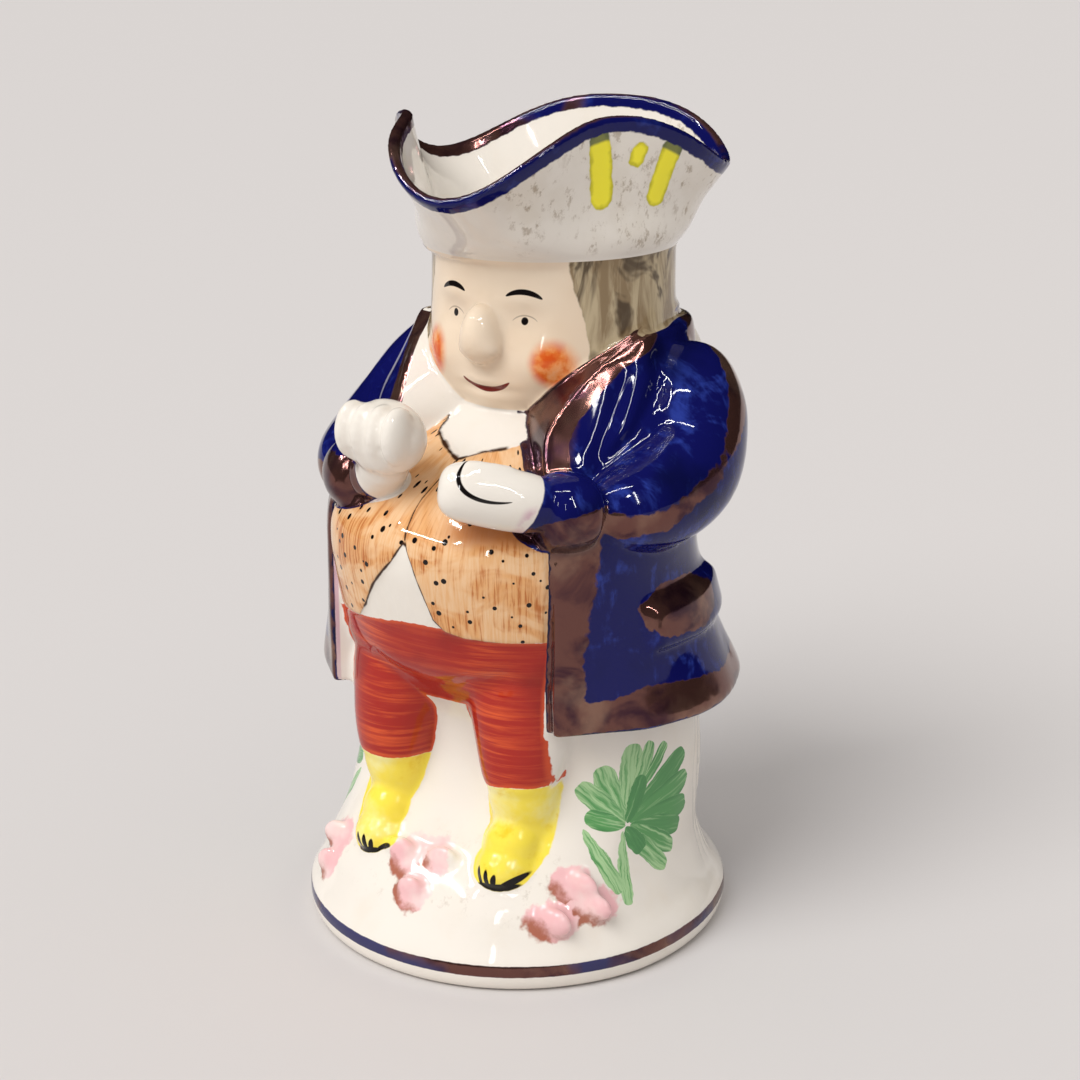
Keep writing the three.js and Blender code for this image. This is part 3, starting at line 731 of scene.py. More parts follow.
def paintAreas(mesh):
    spots = spotsOf(mesh)
    gaps = figureGaps(spots)
    flat = wrapped(spots)
    x, y, z = spots.T
    signedDegrees = np.degrees(np.arctan2(x, -y))
    degrees = np.abs(signedDegrees)
    edge = -gaps["coatEdge"]
    depthIn = coatRadius(degrees, z) - np.hypot(x, y)
    cloth = leastOf(gaps["sleeve"], gaps["cuff"])
    torso = leastOf(gaps["body"], gaps["coat"])
    bare = leastOf(gaps["hand"], gaps["head"], gaps["handle"])
    inner = ringGap(cavityRing(np.clip(z, jugForm["floorTop"], jugForm["hatFoot"])), spots)
    areas = {"painted": mostOf(edges["insideMargin"] - inner, z - jugForm["hatFoot"] - 1.5)}
    turnedIn = np.where((edge < 1.5) & (x < 0), depthIn - edges["coatTurn"], -9)
    coatPart = mostOf(-edge - 0.3, turnedIn)
    stepLow = 0.8 - 0.5 * ease(140, 146, z)
    stepReach = 1.8 + 1.4 * ease(140, 146, z)
    step = np.where(x > 0, mostOf(stepLow - gaps["body"], -edge - stepReach), 9)
    coatPart = mostOf(leastOf(coatPart, step), torso - leastOf(bare, gaps["leg"]))
    skin = leastOf(gaps["hand"] + np.where(x < 0, edges["cuffLap"], 0), gaps["head"], gaps["handle"])
    clothPart = cloth - leastOf(torso, skin)
    areas["blue"] = mostOf(leastOf(coatPart, clothPart), edges["coatLow"] - z)
    areas["coatEdge"] = edge
    areas["torso"] = torso - cloth
    areas["coatDepth"] = depthIn
    width = edges["bandWidth"] - edges["lapelNarrow"] * ease(140, 162, z)
    start = np.where(z > 150, -3, edges["bandStart"])
    front = mostOf(start - edge, edge - edges["bandStart"] - width)
    front = mostOf(front, np.where(z < 156, torso - cloth, -9))
    hem = mostOf(z - np.interp(degrees, *hemTop), edges["hemLow"] - z)
    patch = outlineGap(onWrap(flapPatch), np.column_stack((np.abs(flat[:, 0]), z)))
    bothSides = [spots * np.array((side, 1, 1)) for side in (1, -1)]
    sleeveWidth = edges["sleeveBand"] + 3.5 * ease(150, 175, z)
    sleeve = leastOf(*[routeGap(bandRoute, each) for each in bothSides]) - sleeveWidth
    cuffTop = np.where(x > 0, 141.5 + (x - 37.6) * 0.31, 151)
    cuff = mostOf(gaps["cuff"] - leastOf(gaps["sleeve"], skin), z - cuffTop)
    areas["lustre"] = mostOf(leastOf(front, hem, patch, sleeve, cuff), areas["blue"] + 0.5)
    areas["lapel"] = mostOf(front, 150 - z)
    areas["bodySkin"] = gaps["body"] - leastOf(cloth, bare, gaps["leg"])
    areas["waistcoat"] = outlineGap(waistcoatOutline, flat)
    lineArcs, lineHeights = np.array(onWrap(frontLine[::-1])).T
    areas["frontSeam"] = flat[:, 0] - np.interp(z, lineHeights, lineArcs)
    bootTop = np.where(x < 0, edges["bootTopRight"], edges["bootTopLeft"] + np.clip((x - 10) / 5, 0, 3))
    legSkin = gaps["leg"] - leastOf(gaps["body"], gaps["coat"] + 1)
    lap = mostOf(edges["crotch"] - z, gaps["body"] - leastOf(cloth, bare, gaps["coat"] + 3))
    lap = mostOf(lap, z - np.interp(signedDegrees, *shirtFoot))
    sideLimit = edges["legSide"] + 0.8 + 19 * ease(74, 84, z)
    whiteGap = -0.9 + 1.6 * ease(104, 80, z) - 9 * ease(75, 72, z)
    legArea = leastOf(legSkin - 0.3, lap)
    areas["breeches"] = mostOf(legArea, whiteGap + edge, bootTop - z, np.abs(x) - sideLimit)
    spread = 3.6 * ease(24, 30, np.abs(x)) * ease(30, 40, z)
    areas["boots"] = mostOf(legSkin - 0.3 - spread, z - bootTop, np.abs(x) - edges["legSide"])
    besideHead = leastOf(gaps["body"] + 0.3, cloth, gaps["coat"] + 0.5, gaps["hand"], gaps["handle"])
    areas["face"] = gaps["head"] - besideHead
    turn = np.abs(np.arctan2(x, jugForm["headMiddle"] - y))
    areas["hair"] = (np.radians(np.interp(z, *hairFront)) - turn) * jugForm["headRadius"]
    isHand = gaps["hand"] < leastOf(torso, gaps["head"], gaps["sleeve"]) - 0.3
    areas["wrist"] = np.where(isHand, gaps["hand"] - gaps["cuff"], -20)
    areas["handle"] = gaps["handle"] - leastOf(torso, gaps["head"])
    fall = np.zeros(len(spots))
    nearest = np.full(len(spots), 1e9)
    for stoneDegrees, height, halfWidth in stones:
        arc, _ = onWrap([(stoneDegrees, height)])[0]
        away = (np.hypot((flat[:, 0] - arc) / (halfWidth * 1.15), (z - height) / 5.2) - 1) * 5.2
        fall = np.where(away < nearest, (height - z) * 0.8 + (arc - flat[:, 0]) * 0.6, fall)
        nearest = np.minimum(nearest, away)
    areas["stone"] = mostOf(nearest, leastOf(gaps["body"], gaps["stone"]) - gaps["leg"])
    areas["stoneFall"] = fall
    nearHat = z > 212
    areas["rim"] = np.full(len(spots), 20.0)
    circle = np.linspace(0, 2 * math.pi, 145)
    rim = hatPoints(circle, np.ones(len(circle)), 0, jugForm["brimRoll"] * 0.5, jugForm["headRadius"])
    areas["rim"][nearHat] = routeGap(rim, spots[nearHat])
    areas["plume"] = np.full(len(spots), 20.0)
    outward = nearHat & (normalsOf(mesh)[:, 0] > 0.1)
    for route, halfWidth in plumeStrokes:
        areas["plume"] = leastOf(areas["plume"], np.where(outward, routeGap(route, spots) - halfWidth, 20))
    for name, values in areas.items():
        layer = mesh.attributes.new(name, "FLOAT", "POINT")
        layer.data.foreach_set("value", np.clip(values, -20, 20).astype(np.float32))
    layer = mesh.attributes.new("wrap", "FLOAT_VECTOR", "POINT")
    layer.data.foreach_set("vector", np.column_stack((flat, 0 * z)).astype(np.float32).ravel())


paintAreas(jug.data)
print("paint areas laid out")

solidBox = {
    "inset": 0.03,  # the skin stays this far inside the solid's box
    "ease": 8,  # the sides are drawn in gently over this depth
    "share": 0.115,  # how much of that depth is taken off
}


def putInPlace(mesh):  # the jug is moved to its place in the frame
    spots = spotsOf(mesh) + np.array(moundMiddle)
    low = np.array(cadLow) / millimetre + solidBox["inset"]
    high = np.array(cadHigh) / millimetre - solidBox["inset"]
    x = spots[:, 0]
    past = np.maximum(low[0] + solidBox["ease"] - x, 0) - np.maximum(x - high[0] + solidBox["ease"], 0)
    spots[:, 0] += past * solidBox["share"]
    low[2] -= solidBox["inset"]  # the foot stands on the floor
    setSpots(mesh, np.clip(spots, low, high))


putInPlace(jug.data)
for polygon in jug.data.polygons:
    polygon.use_smooth = True

# Colours of the glaze and paints
paints = {
    "glaze": (0.82, 0.765, 0.69),
    "glazeWarm": (0.77, 0.68, 0.565),
    "cobalt": (0.005, 0.006, 0.088),
    "cobaltPale": (0.025, 0.048, 0.30),
    "cobaltDark": (0.003, 0.004, 0.035),
    "lustre": (0.155, 0.066, 0.055),
    "lustrePale": (0.42, 0.26, 0.18),
    "lustreDark": (0.04, 0.012, 0.028),
    "waistcoat": (0.76, 0.40, 0.165),
    "waistcoatPale": (0.81, 0.53, 0.305),
    "waistcoatDark": (0.46, 0.135, 0.030),
    "breeches": (0.38, 0.024, 0.016),
    "breechesDark": (0.25, 0.016, 0.014),
    "breechesPale": (0.66, 0.095, 0.028),
    "boots": (0.92, 0.74, 0.085),
    "bootsPale": (0.92, 0.84, 0.36),
    "bootsDeep": (0.80, 0.55, 0.02),
    "black": (0.008, 0.006, 0.006),
    "brownLine": (0.05, 0.022, 0.012),
    "face": (0.87, 0.71, 0.535),
    "faceShade": (0.70, 0.47, 0.28),
    "cheek": (0.70, 0.10, 0.015),
    "cheekPale": (0.84, 0.28, 0.06),
    "lips": (0.17, 0.018, 0.014),
    "hair": (0.27, 0.19, 0.105),
    "hairPale": (0.52, 0.42, 0.27),
    "hairDark": (0.065, 0.040, 0.022),
    "stone": (0.84, 0.49, 0.50),
    "stonePale": (0.87, 0.66, 0.63),
    "stoneBrown": (0.34, 0.09, 0.035),
    "leaf": (0.085, 0.31, 0.09),
    "leafPale": (0.38, 0.60, 0.30),
    "leafDark": (0.02, 0.16, 0.045),
    "plume": (0.95, 0.85, 0.045),
    "plumeDeep": (0.42, 0.38, 0.015),
    "plumeDark": (0.02, 0.06, 0.07),
    "rose": (0.60, 0.36, 0.44),
    "grimePale": (0.62, 0.56, 0.47),
    "grime": (0.34, 0.26, 0.18),
    "bareClay": (0.62, 0.53, 0.42),
}
# Leaves of the painted plant: root and tip as angle from the front and height, half width, tone from 0 to 1
leaves = (
    ((70, 41), (67.5, 20), 2.2, 0.2), ((56.5, 43), (66, 24), 2.6, 0.25),
    ((71, 43), (64, 61.5), 3.9, 0.35), ((73, 46), (76, 67), 4.2, 0.25), ((75, 49), (84, 66), 2.7, 0.3),
    ((79, 52), (91.5, 63.5), 2.3, 0.5), ((71, 43.5), (56.5, 56), 3.6, 0.35),
    ((71, 42.5), (58, 46.5), 3.1, 0.55), ((73, 44), (101, 58), 3.9, 0.75),
    ((73, 43), (102.5, 49.5), 4.1, 0.65), ((73, 42), (101.5, 41), 3.9, 0.7),
    ((73, 42), (97, 35), 3.5, 0.75), ((73, 42), (92, 29.5), 3.2, 0.5),
    ((72, 41), (86, 25.5), 3.2, 0.35), ((71, 42), (77.5, 33), 3.0, 0.85),
    ((72, 43), (80, 56), 3.2, 0.8),
)
# Marks of the fine brush in the plane that faces the front
browMarks = ((-11.8, 190.2, 8.4, 93, 37, 0.8), (11.8, 190.2, 8.4, 87, 37, 0.8))
lidMarks = ((-12, 187, 4.6, 90, 50, 0.22), (12, 187, 4.6, 90, 50, 0.22))
mouthMark = (0, 181.5, 12.6, -90, 40, 0.85)
thumbMark = (33.5, 162.8, 12.9, -130, 46, 0.55)
eyeDots = ((-12, 190, 90, 1.15, 1.0), (12, 190, 90, 1.15, 1.0))
cheekDabs = ((-20.5, 177.5, 80, 6.6, 5.2), (20.5, 177.5, 100, 6.6, 5.2))
toeDabs = (
    (24.4, 28.2, 4, 6.6, 1.8), (19.2, 31, 106, 2.9, 0.95), (22, 31, 96, 2.9, 0.9),
    (24.3, 30.8, 80, 2.3, 0.85), (28.7, 30.4, 32, 3.7, 1.15), (-20.6, 28.2, 4, 6.2, 1.8),
    (-25.2, 30.6, 110, 2.9, 0.9), (-22.8, 31, 98, 2.7, 0.9), (-20.6, 30.6, 84, 2.2, 0.8),
    (-16.2, 30.6, 34, 3.6, 1.15),
)


def groupOf(name, inputs, outputs):
    group = bpy.data.node_groups.new(name, "ShaderNodeTree")
    for label, value in inputs.items():
        socket = group.interface.new_socket(name=label, in_out="INPUT", socket_type="NodeSocketFloat")
        socket.default_value = value
    for label in outputs:
        group.interface.new_socket(name=label, in_out="OUTPUT", socket_type="NodeSocketFloat")
    return group, group.nodes.new("NodeGroupInput").outputs, group.nodes.new("NodeGroupOutput").inputs


def put(tree, socket, value):
    if isinstance(value, bpy.types.NodeSocket):
        tree.links.new(value, socket)
    elif socket.type == "RGBA":
        socket.default_value = (*value, 1)
    else:
        socket.default_value = value


def calc(tree, operation, *values):
    node = tree.nodes.new("ShaderNodeMath")
    node.operation = operation
    for socket, value in zip(node.inputs, values):
        put(tree, socket, value)
    return node.outputs[0]


def fade(tree, value, low, high, toLow=0.0, toHigh=1.0):
    node = tree.nodes.new("ShaderNodeMapRange")
    node.interpolation_type = "SMOOTHSTEP"
    values = {"Value": value, "From Min": low, "From Max": high, "To Min": toLow, "To Max": toHigh}
    for label, each in values.items():
        put(tree, node.inputs[label], each)
    return node.outputs["Result"]


def mix(tree, share, first, second):
    node = tree.nodes.new("ShaderNodeMix")
    node.data_type = "RGBA"
    put(tree, node.inputs[0], share)
    put(tree, node.inputs[6], first)
    put(tree, node.inputs[7], second)
    return node.outputs[2]


def blend(tree, share, first, second):
    return calc(tree, "ADD", first, calc(tree, "MULTIPLY", share, calc(tree, "SUBTRACT", second, first)))


def product(tree, *values):
    result = values[0]
    for value in values[1:]:
        result = calc(tree, "MULTIPLY", result, value)
    return result


def plus(tree, first, second):
    return calc(tree, "ADD", first, second)


def minus(tree, first, second):
    return calc(tree, "SUBTRACT", first, second)


def size(tree, value):  # without its sign
    return calc(tree, "ABSOLUTE", value)


def larger(tree, first, second):
    return calc(tree, "MAXIMUM", first, second)


def swing(tree, value, amount):  # a grain that wanders to both sides of nothing
    return product(tree, minus(tree, value, 0.5), amount)


def stretchedPlace(tree, source, scale, turn=(0, 0, 0)):  # coordinates scaled so that a noise becomes streaks
    mapping = tree.nodes.new("ShaderNodeMapping")
    mapping.inputs["Scale"].default_value = scale
    mapping.inputs["Rotation"].default_value = turn
    tree.links.new(source, mapping.inputs["Vector"])
    return mapping.outputs["Vector"]


def objectPlace(tree):
    return tree.nodes.new("ShaderNodeTexCoord").outputs["Object"]


def grain(tree, source, scale, detail=3.0, roughness=0.5, distortion=0.0):
    node = tree.nodes.new("ShaderNodeTexNoise")
    tree.links.new(source, node.inputs["Vector"])
    node.inputs["Scale"].default_value = scale
    node.inputs["Detail"].default_value = detail
    node.inputs["Roughness"].default_value = roughness
    node.inputs["Distortion"].default_value = distortion
    return node.outputs["Fac"]


def brushEdgeGroup():  # a painted area from the distance to its edge, with the wobble of a brush
    inputs = {"Gap": 0, "Grain": 0.5, "Wobble": 0.5, "Softness": 0.15}
    group, given, result = groupOf("brushEdge", inputs, ["Mask"])
    wander = minus(group, given["Grain"], 0.5)
    gap = plus(group, given["Gap"], product(group, wander, given["Wobble"], 2.0))
    soft = given["Softness"]
    group.links.new(fade(group, gap, soft, product(group, soft, -1)), result["Mask"])
    return group


markPlace = {"X": 0, "Z": 0, "Middle X": 0, "Middle Z": 0, "Angle": 0}


def turned(group, given):  # a point's place along and across a mark that is turned by an angle in radians
    dx = minus(group, given["X"], given["Middle X"])
    dz = minus(group, given["Z"], given["Middle Z"])
    cosine = calc(group, "COSINE", given["Angle"])
    sine = calc(group, "SINE", given["Angle"])
    along = plus(group, product(group, dx, cosine), product(group, dz, sine))
    across = minus(group, product(group, dz, cosine), product(group, dx, sine))
    return along, across


def arcStrokeGroup():  # a tapering stroke along part of a circle
    inputs = {**markPlace, "Radius": 1, "Half Angle": 1, "Half Width": 1}
    group, given, result = groupOf("arcStroke", inputs, ["Mask"])
    along, across = turned(group, given)
    share = calc(group, "DIVIDE", size(group, calc(group, "ARCTAN2", across, along)), given["Half Angle"])
    reach = calc(group, "SQRT", plus(group, product(group, along, along), product(group, across, across)))
    off = size(group, minus(group, reach, given["Radius"]))
    left = larger(group, minus(group, 1, product(group, share, share)), 0)
    gap = minus(group, off, product(group, calc(group, "SQRT", left), given["Half Width"]))
    mask = product(group, fade(group, gap, 0.12, -0.12), calc(group, "LESS_THAN", share, 1))
    group.links.new(mask, result["Mask"])
    return group


def dabGroup():  # an oval dab of the brush
    inputs = {**markPlace, "Half Length": 1, "Half Width": 1, "Softness": 0.15}
    group, given, result = groupOf("dab", inputs, ["Mask"])
    along, across = turned(group, given)
    long = calc(group, "DIVIDE", along, given["Half Length"])
    wide = calc(group, "DIVIDE", across, given["Half Width"])
    away = calc(group, "SQRT", plus(group, product(group, long, long), product(group, wide, wide)))
    low = minus(group, 1, given["Softness"])
    group.links.new(fade(group, away, plus(group, 1, given["Softness"]), low), result["Mask"])
    return group


def leafGroup():  # a leaf of one or two brush strokes, blunt at its tip, with its paint streaked along it
    inputs = {**markPlace, "Length": 10, "Half Width": 3}
    group, given, result = groupOf("leafStroke", inputs, ["Mask", "Across", "Share"])
    along, across = turned(group, given)
    share = calc(group, "DIVIDE", along, given["Length"])
    inner = calc(group, "MINIMUM", larger(group, share, 0.0001), 1)
    rootSwell = calc(group, "POWER", inner, 0.62)
    swell = product(group, rootSwell, calc(group, "POWER", minus(group, 1, inner), 0.32))
    width = product(group, swell, given["Half Width"], 1.78)
    gap = minus(group, size(group, across), width)
    isOn = product(group, calc(group, "GREATER_THAN", share, 0), calc(group, "LESS_THAN", share, 1))
    group.links.new(product(group, fade(group, gap, 0.15, -0.15), isOn), result["Mask"])
    group.links.new(calc(group, "DIVIDE", across, given["Half Width"]), result["Across"])
    group.links.new(share, result["Share"])
    return group


def paintedGlaze():
    material = bpy.data.materials.new("painted_glaze")
    material.use_nodes = True
    tree = material.node_tree
    shader = tree.nodes["Principled BSDF"]
    groups = {"edge": brushEdgeGroup(), "arc": arcStrokeGroup(), "dab": dabGroup(), "leaf": leafGroup()}
    place = objectPlace(tree)
    axes = tree.nodes.new("ShaderNodeSeparateXYZ")
    tree.links.new(place, axes.inputs[0])
    x = calc(tree, "MULTIPLY_ADD", axes.outputs[0], 1000, -moundMiddle.x)
    y = calc(tree, "MULTIPLY_ADD", axes.outputs[1], 1000, -moundMiddle.y)
    z = calc(tree, "MULTIPLY", axes.outputs[2], 1000)

    def attribute(name, output="Fac"):
        node = tree.nodes.new("ShaderNodeAttribute")
        node.attribute_name = name
        return node.outputs[output]

    def grouped(kind, **values):
        node = tree.nodes.new("ShaderNodeGroup")
        node.node_tree = groups[kind]
        for label, value in values.items():
            put(tree, node.inputs[label.replace("_", " ")], value)
        return node.outputs

    def brushed(gap, wobble, softness):
        return grouped("edge", Gap=gap, Grain=wander, Wobble=wobble, Softness=softness)["Mask"]

    def area(name, wobble=0.4, softness=0.15, shift=0.0):
        return brushed(plus(tree, attribute(name), shift), wobble, softness)

    def noise(scale, stretch=(1, 1, 1), detail=3.0, roughness=0.5, distortion=0.0, turn=(0, 0, 0)):
        return grain(tree, stretchedPlace(tree, place, stretch, turn), scale, detail, roughness, distortion)

    def wrapNoise(scale, stretch, detail=3.0, roughness=0.5, distortion=0.0, turn=(0, 0, 0)):
        return grain(tree, stretchedPlace(tree, wrap, stretch, turn), scale, detail, roughness, distortion)

    wrap = attribute("wrap", "Vector")
    wrapAxes = tree.nodes.new("ShaderNodeSeparateXYZ")
    tree.links.new(wrap, wrapAxes.inputs[0])
    arc = wrapAxes.outputs[0]
    wander = noise(330, detail=2)
    painted = area("painted", 0, 0.1)
    atFront = fade(tree, y, 4, 2)
    fine = noise(240, detail=3)
    middling = noise(110, detail=4, roughness=0.6)
    mottle = noise(50, detail=4, roughness=0.55)
    broad = noise(30, detail=3)
    soilGrain = noise(260, (1, 1, 0.7), 6, 0.72)

    # Glaze: warm where it lies thick, with faint grime low down and a few dark specks
    colour = mix(tree, fade(tree, mottle, 0.5, 0.75, 0, 0.35), paints["glaze"], paints["glazeWarm"])
    handleTint = product(tree, area("handle", 0.5, 0.5), painted, fade(tree, middling, 0.58, 0.68, 0, 0.6))
    colour = mix(tree, handleTint, colour, paints["stoneBrown"])
    low = product(tree, fade(tree, z, 44, 30), fade(tree, z, 16, 24), fade(tree, y, -30, -36))
    grime = product(tree, low, fade(tree, soilGrain, 0.55, 0.75, 0, 0.5))
    colour = mix(tree, grime, colour, paints["grime"])

    # Stones, pink with brown at the lower edge
    stone = product(tree, area("stone", 2.0, 0.6), painted)
    stoneTint = mix(tree, fade(tree, mottle, 0.42, 0.62), paints["stone"], paints["stonePale"])
    brownGap = plus(tree, attribute("stoneFall"), swing(tree, middling, 14))
    stoneTint = mix(tree, fade(tree, brownGap, 0.8, 5, 0, 0.88), stoneTint, paints["stoneBrown"])
    colour = mix(tree, stone, colour, stoneTint)

    # Painted plant on the figure's left, mirrored on the right
    leafArc = plus(tree, size(tree, arc), fade(tree, fine, 0.3, 0.7, -0.35, 0.35))
    plant, across, share, tone = 0.0, 0.0, 0.0, 0.0
    for (rootDegrees, rootHeight), (tipDegrees, tipHeight), halfWidth, leafTone in leaves:
        (rootArc, _), (tipArc, _) = onWrap(((rootDegrees, rootHeight), (tipDegrees, tipHeight)))
        length = math.hypot(tipArc - rootArc, tipHeight - rootHeight)
        turn = math.atan2(tipHeight - rootHeight, tipArc - rootArc)
        leaf = grouped("leaf", X=leafArc, Z=z, Middle_X=rootArc, Middle_Z=rootHeight, Angle=turn,
                       Length=length, Half_Width=halfWidth)
        plant = larger(tree, leaf["Mask"], plant)
        across = blend(tree, leaf["Mask"], across, leaf["Across"])
        share = blend(tree, leaf["Mask"], share, leaf["Share"])
        tone = blend(tree, leaf["Mask"], tone, leafTone)
    strokePlace = tree.nodes.new("ShaderNodeCombineXYZ")
    put(tree, strokePlace.inputs[0], calc(tree, "MULTIPLY", share, 1.3))
    put(tree, strokePlace.inputs[1], calc(tree, "MULTIPLY", across, 3.2))
    put(tree, strokePlace.inputs[2], calc(tree, "MULTIPLY", tone, 40))
    streaks = grain(tree, strokePlace.outputs[0], 1, 3)
    shade = fade(tree, plus(tree, streaks, product(tree, minus(tree, tone, 0.42), 0.45)), 0.36, 0.6)
    leafTint = mix(tree, shade, paints["leafPale"], paints["leaf"])
    edgeShade = fade(tree, size(tree, across), 0.5, 1.0, 0, 0.7)
    deep = larger(tree, product(tree, edgeShade, shade), fade(tree, tone, 0.62, 0.85, 0, 0.55))
    deep = product(tree, deep, fade(tree, streaks, 0.35, 0.6, 0.35, 1))
    leafTint = mix(tree, deep, leafTint, paints["leafDark"])
    colour = mix(tree, product(tree, plant, painted, 0.96), colour, leafTint)

    # Line round the foot, blue with brown lustre in it
    footLineGap = minus(tree, size(tree, minus(tree, z, 7)), 1.7)
    ring = product(tree, brushed(footLineGap, 0.18, 0.15), painted)
    ringLustre = fade(tree, broad, 0.45, 0.55)

    # Boots and toe caps
    boots = product(tree, area("boots", 0.5, 0.3), painted)
    bootTint = mix(tree, fade(tree, mottle, 0.44, 0.64), paints["boots"], paints["bootsPale"])
    bootTint = mix(tree, fade(tree, middling, 0.55, 0.72, 0, 0.8), bootTint, paints["bootsDeep"])
    colour = mix(tree, boots, colour, bootTint)
    caps = 0
    for middleX, middleZ, degrees, halfLength, halfWidth in toeDabs:
        dab = grouped("dab", X=x, Z=z, Middle_X=middleX, Middle_Z=middleZ, Angle=math.radians(degrees),
                      Half_Length=halfLength, Half_Width=halfWidth, Softness=0.12)["Mask"]
        caps = larger(tree, dab, caps)
    caps = product(tree, caps, boots, fade(tree, y, -38, -41))
    colour = mix(tree, caps, colour, paints["black"])

    # Breeches, brushed round the legs, with a painted highlight down the middle of each leg
    breeches = product(tree, area("breeches", 0.5, 0.12), painted)
    rounds = noise(150, (0.22, 0.22, 4.2), 4, 0.6, 0.5, (0.14, 0.18, 0))
    # Painted highlight: the pale red streaks are strongest down the middle of each leg
    legMiddle = fade(tree, size(tree, minus(tree, size(tree, x), 20)), 12, 2, 0.35, 1)
    paintedLegHighlight = product(tree, fade(tree, rounds, 0.42, 0.7), legMiddle)
    redTint = mix(tree, paintedLegHighlight, paints["breeches"], paints["breechesPale"])
    redTint = mix(tree, fade(tree, broad, 0.48, 0.68, 0, 0.8), redTint, paints["breechesDark"])
    thin = fade(tree, attribute("breeches"), -1.6, -0.2, 0, 0.75)
    redTint = mix(tree, thin, redTint, paints["breechesPale"])
    colour = mix(tree, breeches, colour, redTint)

    # Waistcoat: peach with combed orange strokes, small black spots, and painted shade under the hand
    bodySkin = area("bodySkin", 0, 0.2, -0.35)
    ahead = fade(tree, attribute("coatEdge"), 0.1, -0.3)
    onFront = product(tree, bodySkin, painted, ahead)
    waistcoat = product(tree, area("waistcoat", 0.3, 0.15), onFront)
    comb = wrapNoise(1, (1.25, 0.07, 1), 4, 0.65, 0.5, (0, 0, 0.08))
    wash = wrapNoise(1, (0.06, 0.075, 1), 3, 0.55, 1.0)
    combed = product(tree, fade(tree, comb, 0.4, 0.62), fade(tree, z, 150, 130, 0.35, 1))
    cloth = mix(tree, larger(tree, fade(tree, wash, 0.42, 0.6), product(tree, combed, 0.7)),
                paints["waistcoatPale"], paints["waistcoat"])
    heavy = product(tree, fade(tree, plus(tree, wash, product(tree, comb, 0.6)), 0.76, 0.98, 0, 0.9), combed)
    # Painted shade: the waistcoat turns dark orange-brown just under the left hand
    shadeUnderHand = product(tree, fade(tree, z, 132, 137), fade(tree, z, 144, 141), fade(tree, arc, 6, 18), 0.75)
    cloth = mix(tree, larger(tree, heavy, shadeUnderHand), cloth, paints["waistcoatDark"])
    spots = tree.nodes.new("ShaderNodeTexVoronoi")
    spots.voronoi_dimensions = "2D"
    tree.links.new(stretchedPlace(tree, wrap, (0.2, 0.185, 1)), spots.inputs["Vector"])
    spots.inputs["Scale"].default_value = 1
    spotTone = tree.nodes.new("ShaderNodeSeparateColor")
    tree.links.new(spots.outputs["Color"], spotTone.inputs[0])
    spotRadius = fade(tree, spotTone.outputs[1], 0, 1, 0.065, 0.15)
    dots = product(tree, fade(tree, minus(tree, spots.outputs["Distance"], spotRadius), 0.02, -0.02),
                   calc(tree, "GREATER_THAN", spotTone.outputs[0], 0.2))
    cloth = mix(tree, dots, cloth, paints["black"])
    colour = mix(tree, waistcoat, colour, cloth)
    lineWidth = fade(tree, fine, 0.3, 0.7, 0.12, 0.34)
    edgeGap = minus(tree, size(tree, attribute("waistcoat")), lineWidth)
    isLined = larger(tree, fade(tree, z, 107, 109), 0.35)
    edgeLine = product(tree, fade(tree, edgeGap, 0.2, -0.2), isLined, fade(tree, arc, 27, 24))
    seamGap = minus(tree, size(tree, attribute("frontSeam")), lineWidth)
    seam = product(tree, fade(tree, seamGap, 0.2, -0.2), fade(tree, z, 133, 134), fade(tree, z, 151, 150.5))
    lines = product(tree, larger(tree, edgeLine, seam), onFront)
    colour = mix(tree, lines, colour, paints["brownLine"])

    # Coat: mottled cobalt
    blue = product(tree, area("blue", 0.25, 0.15), painted)
    cloudy = noise(70, (1, 1, 1), 5, 0.62, 0.8, (0.5, 0.4, 0))
    strokes = noise(150, (0.6, 2.2, 0.8), 4, 0.6, 0.5, (0.3, 0.6, 0.5))
    pale = fade(tree, product(tree, cloudy, plus(tree, strokes, 0.5)), 0.5, 0.74, 0, 0.8)
    blueTint = mix(tree, pale, paints["cobalt"], paints["cobaltPale"])
    blueTint = mix(tree, fade(tree, broad, 0.5, 0.7, 0, 0.8), blueTint, paints["cobaltDark"])
    edge = attribute("coatEdge")
    rimLine = product(tree, fade(tree, edge, 1.5, 1.1), fade(tree, attribute("torso"), 0.2, -0.2))
    blueTint = mix(tree, rimLine, blueTint, paints["cobaltDark"])
    colour = mix(tree, blue, colour, blueTint)
    depth = attribute("coatDepth")
    turnIn = product(tree, fade(tree, depth, 1.2, 1.6), fade(tree, depth, 2.9, 2.4), painted,
                     fade(tree, size(tree, edge), 1.6, 1.2), fade(tree, z, 130, 128), fade(tree, z, 76, 77),
                     fade(tree, x, 0, -1))
    colour = mix(tree, product(tree, turnIn, 0.8), colour, paints["rose"])

    # Lustre over the blue
    lustreMask = area("lustre", 1.1, 0.25)
    lapel = fade(tree, plus(tree, attribute("lapel"), swing(tree, mottle, 14)), 1, -3)
    lustreMask = larger(tree, lustreMask, lapel)
    lustre = product(tree, lustreMask, blue)
    lustre = larger(tree, lustre, product(tree, ring, ringLustre))
    patchy = noise(55, (1, 1, 1.3), 4, 0.6, 0.6)
    lustreTint = mix(tree, fade(tree, patchy, 0.46, 0.66, 0, 0.9), paints["lustre"], paints["lustreDark"])
    lustreTint = mix(tree, fade(tree, mottle, 0.5, 0.7, 0, 0.4), lustreTint, paints["lustrePale"])
    colour = mix(tree, product(tree, ring, 0.96), colour, paints["cobalt"])

    # Hands: rose at the wrists and the line of the thumb
    handGap = attribute("wrist")
    wrist = product(tree, fade(tree, handGap, -3.4, -1.2), painted, fade(tree, z, 149, 146),
                    fade(tree, middling, 0.42, 0.62, 0.1, 0.75),
                    minus(tree, 1, blue))
    colour = mix(tree, wrist, colour, paints["rose"])

